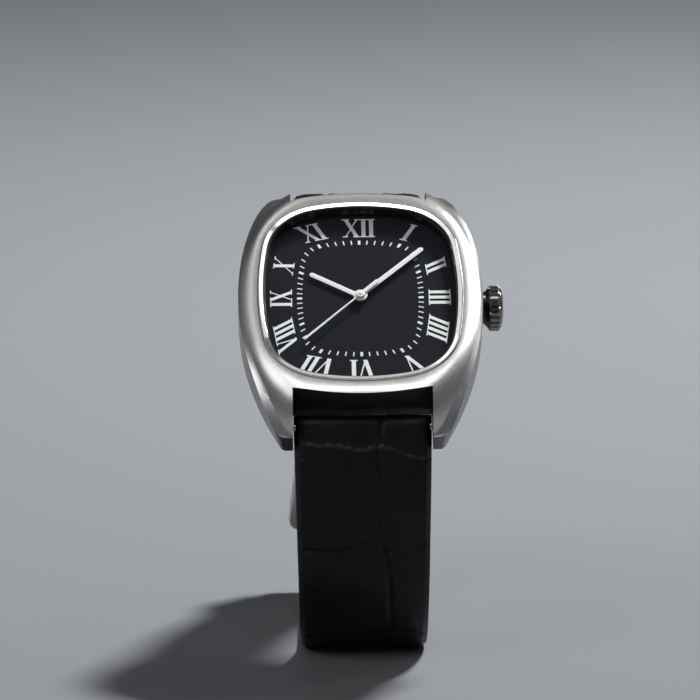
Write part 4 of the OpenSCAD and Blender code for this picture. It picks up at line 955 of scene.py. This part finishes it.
# scale embossing: rows of large scales with a few lengthwise creases, and short wrinkles beside the rows
emboss = {
    "firstRow": 3.2, "pitch": 15.8, "rowDepth": 0.26, "rowWidth": 0.42, "rowWobble": 1.7, "rowSway": 0.03,
    "firstSway": 0.11, "columnDepth": 0.26, "columnWidth": 0.38, "columnLip": 0.07, "columnLean": 0.035,
    "wrinkleDepth": 0.09, "wrinkleLength": 2.4, "padRise": 0.12, "padReach": 4.0, "unrest": 0.035,
    "edgeFade": 1.6, "seed": 11.0,
}


def drift(x, y, z):
    return noise.noise(Vector((x, y, z)))


def bell(d, width):
    return math.exp(-(d / width) ** 2)


def rowLine(k, x):
    # where the k-th row boundary runs, at x across the strap
    wobble = drift(x * 0.16, k * 7.3, emboss["seed"]) * emboss["rowWobble"]
    sway = (emboss["firstSway"] if k == 0 else -emboss["rowSway"] * (-1) ** k) * x
    return emboss["firstRow"] + emboss["pitch"] * k + sway + wobble


def columnLines(k):
    # lengthwise creases of the row of scales that starts at boundary k
    if k in (-1, 0):
        return (2.5,)
    lean = drift(k * 3.1, 2.7, emboss["seed"])
    return (3.6 + 2.2 * lean,) if k % 3 else (-4.6 + 2 * lean, 4.2 + 2 * lean)


def embossHeight(x, s, half):
    k = math.floor((s - emboss["firstRow"]) / emboss["pitch"])
    height, gaps = 0.0, [emboss["padReach"]]
    for row in range(k - 1, k + 3):
        d = s - rowLine(row, x)
        gaps.append(abs(d))
        width = emboss["rowWidth"] * (1 + 0.4 * drift(x * 0.4, row * 3.0, 4.0))
        height -= emboss["rowDepth"] * bell(d, width)
        if -2.2 * emboss["wrinkleLength"] < d < 0.2:
            folds = max(0.0, 1 - 7 * abs(drift(x * 1.15 + row * 9, d * 0.12, 7.0)))
            height -= emboss["wrinkleDepth"] * bell(d + 0.9, emboss["wrinkleLength"]) * folds
    row = k if s >= rowLine(k, x) else k - 1
    if s >= rowLine(k + 1, x):
        row = k + 1
    for c in columnLines(row):
        d = x - c - emboss["columnLean"] * (s - rowLine(row, c)) - 0.35 * drift(s * 0.16, row * 5.0, 9.0)
        gaps.append(abs(d))
        height -= emboss["columnDepth"] * bell(d, emboss["columnWidth"])
        height += emboss["columnLip"] * bell(d - 0.8, 0.45)
    height += emboss["padRise"] * (math.sqrt(min(gaps) / emboss["padReach"]) - 0.6)
    height += emboss["unrest"] * drift(x * 0.5, s * 0.5, 1.0)
    return height * ease((half - abs(x)) / emboss["edgeFade"])


# the leather's section: its padding rises from the shoulder at the edge to the full thickness
padding = {"chamfer": 0.15, "inset": 0.75, "shoulder": 0.78, "spread": 3.4, "fall": 2.2, "columns": 72}


def strapSection(s, width, low, high):
    # closed section of the outer leather: flat below, upright edges, a padded top
    half, k, columns, shoulder = width / 2, high - low, padding["columns"], padding["shoulder"]
    chamfer = min(padding["chamfer"], 0.3 * k)
    edge = [(chamfer - half, 0, low), (-half, 0, low + chamfer), (-half, 0, low + 0.5 * k),
            (0.12 - half, 0, low + 0.62 * k), (0.4 - half, 0, low + 0.72 * k)]
    inner = half - padding["inset"]
    depth = ease((k - 0.4) / 1.4)   # the folds thin out to nothing and stay smooth
    top = []
    for i in range(columns + 1):
        x = -inner + 2 * inner * i / columns
        inward = min((half - abs(x)) / half * padding["spread"], 1)
        rise = shoulder + (1 - shoulder) * (1 - (1 - inward) ** padding["fall"])
        top.append((x, 0, low + rise * k + depth * embossHeight(x, s, half)))
    return edge + top + [(-x, y, z) for x, y, z in reversed(edge)]


def loftStrap(name, stations, node):
    # stations are (s, width, low, high)
    verts, uvs = [], []
    for station in stations:
        section = strapSection(*station)
        verts += onStrap(station[0], section)
        uvs += [(x / 10, station[0] / 10) for x, _, _ in section]
    faces = ringFaces(len(stations), len(verts) // len(stations))
    return makePiece(name, verts, faces, leather, "watch", sidePlace, "strap_leather", node, uvs=uvs, weld=0)


def layer(a, b, width, levels, kind, gap=strap["step"]):
    # stations from a to b of the whole leather, its outer layer or its lining
    stations = []
    steps = max(1, math.ceil((b - a) / gap))
    for s in (a + (b - a) * i / steps for i in range(steps + 1)):
        low, high = levels(s)
        seam = low + strap["lining"]
        stations.append((s, width(s), seam if kind == "outer" else low, seam if kind == "lining" else high))
    return stations


def fold(s, way, radius, width, steps):
    # stations of the leather's fold round a bar, from the bar's place on
    turns = arcPoints((0, 0), radius, 0, math.radians(strap["foldAngle"]), steps, skip=1)
    return [(s + way * along, width, -height, height) for height, along in turns]


def punch(piece, verts, faces):
    # cuts a closed shape out of a piece and keeps the result as a plain mesh
    mesh = bpy.data.meshes.new("cutter")
    mesh.from_pydata(verts, [], faces)
    mendMesh(mesh, outward=True)
    mesh.transform(sidePlace)
    cutter = addObject("cutter", mesh)
    cut = piece.modifiers.new("punch", "BOOLEAN")
    cut.operation, cut.object, cut.solver = "DIFFERENCE", cutter, "MANIFOLD"
    result = evaluatedMesh(piece)
    piece.modifiers.clear()
    piece.data = result
    bpy.data.objects.remove(cutter)
    mendMesh(result, crease=45)
    print("punched", piece.name, len(result.polygons), "faces")


def cutHoles(piece):
    # the hole in use is drawn long by the tongue
    parts, r = [], strap["holeWidth"] / 2
    for i in (0, -3, -2, -1, 1, 2):
        s = pinAt + strap["usedHole"] + i * strap["holePitch"]
        pull = 0 if i else strap["usedLength"] / 2
        out = longOut(s)
        rim = [(r * math.cos(a), r * math.sin(a) + math.copysign(pull, math.sin(a)))
               for a in (2 * math.pi * (k + 0.5) / 32 for k in range(32))]
        parts.append((onStrap(s, [(x, y, out + w) for w in (-4, 4) for x, y in rim]), ringFaces(2, len(rim))))
    punch(piece, *joined(*parts))


def cutSlot(piece):
    # the notch in the fold that the tongue turns in
    rim = ((-1.3, -3), (1.3, -3), (1.3, 1.8), (0.9, 2.4), (-0.9, 2.4), (-1.3, 1.8))
    punch(piece, onStrap(pinAt, [(x, y, w) for w in (-3, 3) for x, y in rim]), ringFaces(2, len(rim)))


def buildLining(name, stations, node):
    verts = []
    for s, width, low, high in stations:
        half = width / 2 - strap["liningInset"]
        left = [(0.25 - half, 0, low), (-half, 0, low + 0.2), (-half, 0, high)]
        verts += onStrap(s, left + [(-x, y, z) for x, y, z in reversed(left)])
    faces = ringFaces(len(stations), 6)
    return makePiece(name, verts, faces, lining, "watch", sidePlace, "lining_leather", node, weld=0)


def buildLongStrap():
    lined = strap["liningStart"] + 0.1
    stations = fold(0, -1, strap["thick"] / 2, longWidth(0), 14)[::-1]
    stations += layer(0, strap["liningStart"], longWidth, longLevels, "whole")
    stations += layer(lined, tailAt, longWidth, longLevels, "outer")
    cutHoles(loftStrap("longStrap", stations, "strap_long"))
    under = layer(lined, tailAt, longWidth, longLevels, "lining", strap["liningStep"])
    cutHoles(buildLining("longLining", under, "strap_long_lining"))


def buildShortStrap():
    lined, linedEnd = pinAt + strap["shortLiningStart"], routeEnd - strap["liningStart"]
    stations = fold(pinAt, -1, strap["pinRoll"], shortWidth(pinAt), 10)[::-1]
    stations += layer(pinAt, lined - 0.1, shortWidth, shortLevels, "whole")
    stations += layer(lined, linedEnd, shortWidth, shortLevels, "outer")
    stations += layer(linedEnd + 0.1, routeEnd, shortWidth, shortLevels, "whole")
    stations += fold(routeEnd, 1, strap["thick"] / 2, shortWidth(routeEnd), 14)
    cutSlot(loftStrap("shortStrap", stations, "strap_short"))
    under = layer(lined, linedEnd, shortWidth, shortLevels, "lining", strap["liningStep"])
    buildLining("shortLining", under, "strap_short_lining")


buildLongStrap()
buildShortStrap()
print("strap made")


# keepers: closed leather bands round both parts of the strap

keeper = {"length": 5.0, "thick": 1.0, "corner": 1.3, "edge": 0.3, "crown": 0.04, "fixedAt": 8.5,
          "freeAt": 17.5, "slack": 0.52, "travel": 2.0}


def buildKeeper(name, at, gap, travel, body, node):
    s, e, f = pinAt + at, keeper["thick"], keeper["length"] / 2
    half = shortWidth(s + travel + f) / 2 + gap
    low, high = shortLevels(s)[0] - gap, longLevels(s)[1] + gap
    r, edge = keeper["corner"], keeper["edge"]
    loop = []
    for cx, cy, start in ((half - r, high - r, 0), (r - half, high - r, 90),
                          (r - half, low + r, 180), (half - r, low + r, 270)):
        for a in (math.radians(start + 90 * i / 8) for i in range(9)):
            loop.append((cx + r * math.cos(a), cy + r * math.sin(a), math.cos(a), math.sin(a)))
    # the band's section as (outward, along): edges rounded on the outside, a low crown between them
    section = [(0.05, -f), (0.3, -f)] + arcPoints((e - edge, edge - f), edge, -math.pi / 2, 0, 3)
    section += [(e + keeper["crown"] * math.cos(math.pi / 2 * v / (f - edge)), v)
                for v in (-1.4, -0.7, 0, 0.7, 1.4)]
    section += arcPoints((e - edge, f - edge), edge, 0, math.pi / 2, 3)
    section += [(0.05, f), (0, f - 0.1), (0, 0.1 - f)]
    verts, uvs, run = [], [], 0.0
    for k, (x, y, nx, ny) in enumerate(loop):
        if k:
            run += math.hypot(x - loop[k - 1][0], y - loop[k - 1][1])
        verts += onStrap(s, [(x + out * nx, along, y + out * ny) for out, along in section])
        uvs += [(run / 10, along / 10 + at) for _, along in section]
    faces = ringFaces(len(loop), len(section), closedLoop=True)
    makePiece(name, verts, faces, leather, body, sidePlace, "strap_leather", node, uvs=uvs)


buildKeeper("fixedKeeper", keeper["fixedAt"], strap["soft"], 0, "watch", "keeper_fixed")
buildKeeper("looseKeeper", keeper["freeAt"], keeper["slack"], keeper["travel"], "loose_keeper", "keeper_free")


# buckle: a polished frame and its tongue, drawn at the buckle bar with -Y along the arms

buckle = {"length": 9.6, "arm": 2.2, "flare": 2.2, "thick": 1.7, "inner": 18.9, "edgeRound": 0.42,
          "bar": 0.75, "eyeGap": 0.05, "eyeWall": 0.4,
          "tongueWidth": 1.2, "tongueThick": 0.7, "tongueGap": 0.05}


def pinPlace():
    t = routeDir(pinAt)
    turn = Matrix(((1, 0, 0), (0, t[0], t[1]), (0, t[1], -t[0]))).to_4x4()
    return Matrix.Translation(joints["buckle_swing"]["pos_m"]) @ turn @ Matrix.Scale(mm, 4)


def frameSlope():
    out = longOut(pinAt - buckle["length"]) + strap["endThick"] / 2 + strap["soft"] + buckle["thick"] / 2
    return math.asin(out / buckle["length"])


def buildFrame():
    inner, thick = buckle["inner"] / 2, buckle["thick"] / 2
    arm = inner + buckle["arm"] * 0.6
    wide = arm + buckle["flare"] / 2
    front = -buckle["length"] - buckle["arm"] / 2
    window = front + buckle["arm"]
    outline = mirrored([
        (0, front - 0.12), (wide * 0.6, front - 0.05), (wide - 1.8, front + 0.05), (wide - 0.9, front + 0.35),
        (wide - 0.25, front + 1.0), (wide, front + 1.9), (wide - 0.35, -6), (arm + 0.25, -2.5), (arm, -0.8),
        (arm, 0.3), (arm - 0.25, 0.95), (arm - 0.75, 1.2), (inner, 1.2), (inner, window + 0.8),
        (inner - 0.25, window + 0.2), (inner - 0.8, window), (0, window)])
    verts = [(x, y, z) for z in (-thick, thick) for x, y in outline]
    place = pinPlace() @ Matrix.Rotation(-frameSlope(), 4, "X")
    makePiece("buckleFrame", verts, ringFaces(2, len(outline)), buffed, "buckle", place, "polished_steel",
              "buckle_frame", bevel=(buckle["edgeRound"], 5, 40))


def buildTongue():
    slope, thick, tip = frameSlope(), buckle["tongueThick"] / 2, -buckle["length"]
    reach = buckle["length"] + buckle["arm"] / 2
    frameTop = reach * math.sin(slope) + buckle["thick"] / 2 * math.cos(slope)
    level = frameTop + buckle["tongueGap"] + thick
    # from the bar up through the hole and over the frame, as (along, out, half width)
    path = [(0, 1.15, 0.6), (-0.55, 1.75, 0.6), (-1.25, 2.4, 0.6), (-1.9, 3.1, 0.6), (-2.5, 3.7, 0.6),
            (-3.3, level, 0.6), (-5.5, level + 0.02, 0.6), (-8, level + 0.02, 0.58), (tip - 0.6, level, 0.5),
            (tip - 0.95, level - 0.06, 0.3)]
    verts = []
    for k, (y, z, w) in enumerate(path):
        a, b = path[max(k - 1, 0)], path[min(k + 1, len(path) - 1)]
        d = math.hypot(b[0] - a[0], b[1] - a[1])
        ty, tz = (b[0] - a[0]) / d, (b[1] - a[1]) / d
        for u, v in ((math.cos(i * math.pi / 8), thick * math.sin(i * math.pi / 8)) for i in range(16)):
            verts.append((w * u, y - tz * v, z + ty * v))
    inside, w = buckle["bar"] + buckle["eyeGap"], buckle["tongueWidth"] / 2
    outside = inside + buckle["eyeWall"]
    section = [(inside, -w), (outside - 0.12, -w), (outside, 0.12 - w),
               (outside, w - 0.12), (outside - 0.12, w), (inside, w)]
    turns = [i * math.pi / 20 for i in range(40)]
    eye = [(x, r * math.cos(a), r * math.sin(a)) for a in turns for r, x in section]
    parts = joined((verts, ringFaces(len(path), 16)), (eye, ringFaces(40, len(section), closedLoop=True)))
    makePiece("buckleTongue", *parts, buffed, "tongue", pinPlace(), "polished_steel", "buckle_tongue")


buildFrame()
buildTongue()
print("keepers and buckle made")


# what stays as in the solids, with its own finish

barParts = [f"{bar}_bar_{part}" for bar in ("lower", "upper", "buckle")
            for part in ("tube", "tip_left", "tip_right")]
nodeFinish = (
    (lacquer, ["dial_plate"]),
    (ink, ["hour_figures"]),
    (brass, ["hour_wheel", "center_wheel", "minute_wheel", "third_wheel", "second_wheel", "fifth_wheel"]),
    (magnet, ["rotor"]),
    (nickel, ["stator", "coil_core", "main_plate", "train_bridge"]),
    (copper, ["coil_winding"]),
    (board, ["circuit_board"]),
    (springSteel, ["button_cell", "cell_clamp", "movement_screws", "stem", "crown_tube"] + barParts),
    (holder, ["movement_holder"]),
    (seal, ["crown_gasket", "back_gasket"]),
    # the case back takes the flank's darker steel, painted shade
    (flank, ["case_back"]),
    (buffed, ["back_screws"]),
)
for finish, nodes in nodeFinish:
    for node in nodes:
        frame["nodes"][node].data.materials.clear()
        frame["nodes"][node].data.materials.append(finish)


# floor, backdrop and lights

stage = {"floor": "#7a7c7f", "size": 3.0, "wallAt": 0.9, "wallRound": 0.4, "wallTop": 2.2, "ambient": 0.12,
         "sky": "#f2f6ff"}


def addStage():
    material = newMaterial("paleFloor", stage["floor"], 0.35)[0]
    half, r = stage["size"] / 2, stage["wallRound"]
    profile = [(-half, 0)] + arcPoints((stage["wallAt"], r), r, -math.pi / 2, 0, 6)
    profile.append((stage["wallAt"] + r, stage["wallTop"]))
    n = len(profile)
    mesh = bpy.data.meshes.new("floor")
    mesh.from_pydata([(x, y, z) for x in (-half, half) for y, z in profile], [],
                     [(n + i, n + i + 1, i + 1, i) for i in range(n - 1)])
    mendMesh(mesh, smooth=True)
    mesh.materials.append(material)
    addObject("floor", mesh)


def addSoftbox(name, direction, distance, size, radiance, lights=("gloss",)):
    # a plain rectangle of even brightness, aimed at the dial; radiance 1 reflects as white in a mirror.
    # the boxes that draw the metal are kept off matte surfaces, and the key off the metal
    data = bpy.data.lights.new(name, "AREA")
    data.shape = "RECTANGLE"
    data.size, data.size_y = size
    data.energy = radiance * math.pi * size[0] * size[1]
    lamp = addObject(name, data)
    way = Vector(direction).normalized()
    lamp.location = dialCentre + way * distance
    lamp.visible_glossy, lamp.visible_diffuse = "gloss" in lights, "matte" in lights
    lamp.rotation_euler = way.to_track_quat("Z", "Y").to_euler()


addStage()
addSoftbox("keyBackTop", (0.307, 0.481, 0.821), 0.9, (0.1, 0.1), 600, ("matte",))
addSoftbox("glintBackRight", (0.56, 0.33, 0.76), 0.9, (0.1, 0.1), 315)
addSoftbox("frontTop", (0.05, -0.36, 0.93), 0.9, (0.6, 0.22), 3.9)
addSoftbox("frontLeftTop", (-0.33, -0.26, 0.91), 0.9, (0.25, 0.25), 0.95)
addSoftbox("leftTop", (-0.4, 0.04, 0.915), 0.9, (0.24, 0.3), 0.75)
addSoftbox("backLeftTop", (-0.27, 0.34, 0.9), 0.9, (0.25, 0.25), 1.4)
addSoftbox("backTop", (0.03, 0.44, 0.9), 0.9, (0.36, 0.26), 0.6)
addSoftbox("rightTop", (0.4, 0.02, 0.915), 0.9, (0.24, 0.3), 1.5)
addSoftbox("leftFront", (-0.62, -0.4, 0.68), 0.8, (0.45, 0.45), 2.0, ("gloss", "matte"))
addSoftbox("rightSide", (0.8, 0.19, 0.56), 0.8, (0.35, 0.35), 0.6)

world = bpy.data.worlds.new("studio")
world.use_nodes = True
background = world.node_tree.nodes["Background"]
background.inputs["Color"].default_value = hexColour(stage["sky"])
background.inputs["Strength"].default_value = stage["ambient"]
bpy.context.scene.world = world
bpy.context.scene.view_settings.view_transform = "Standard"
print("stage lit")
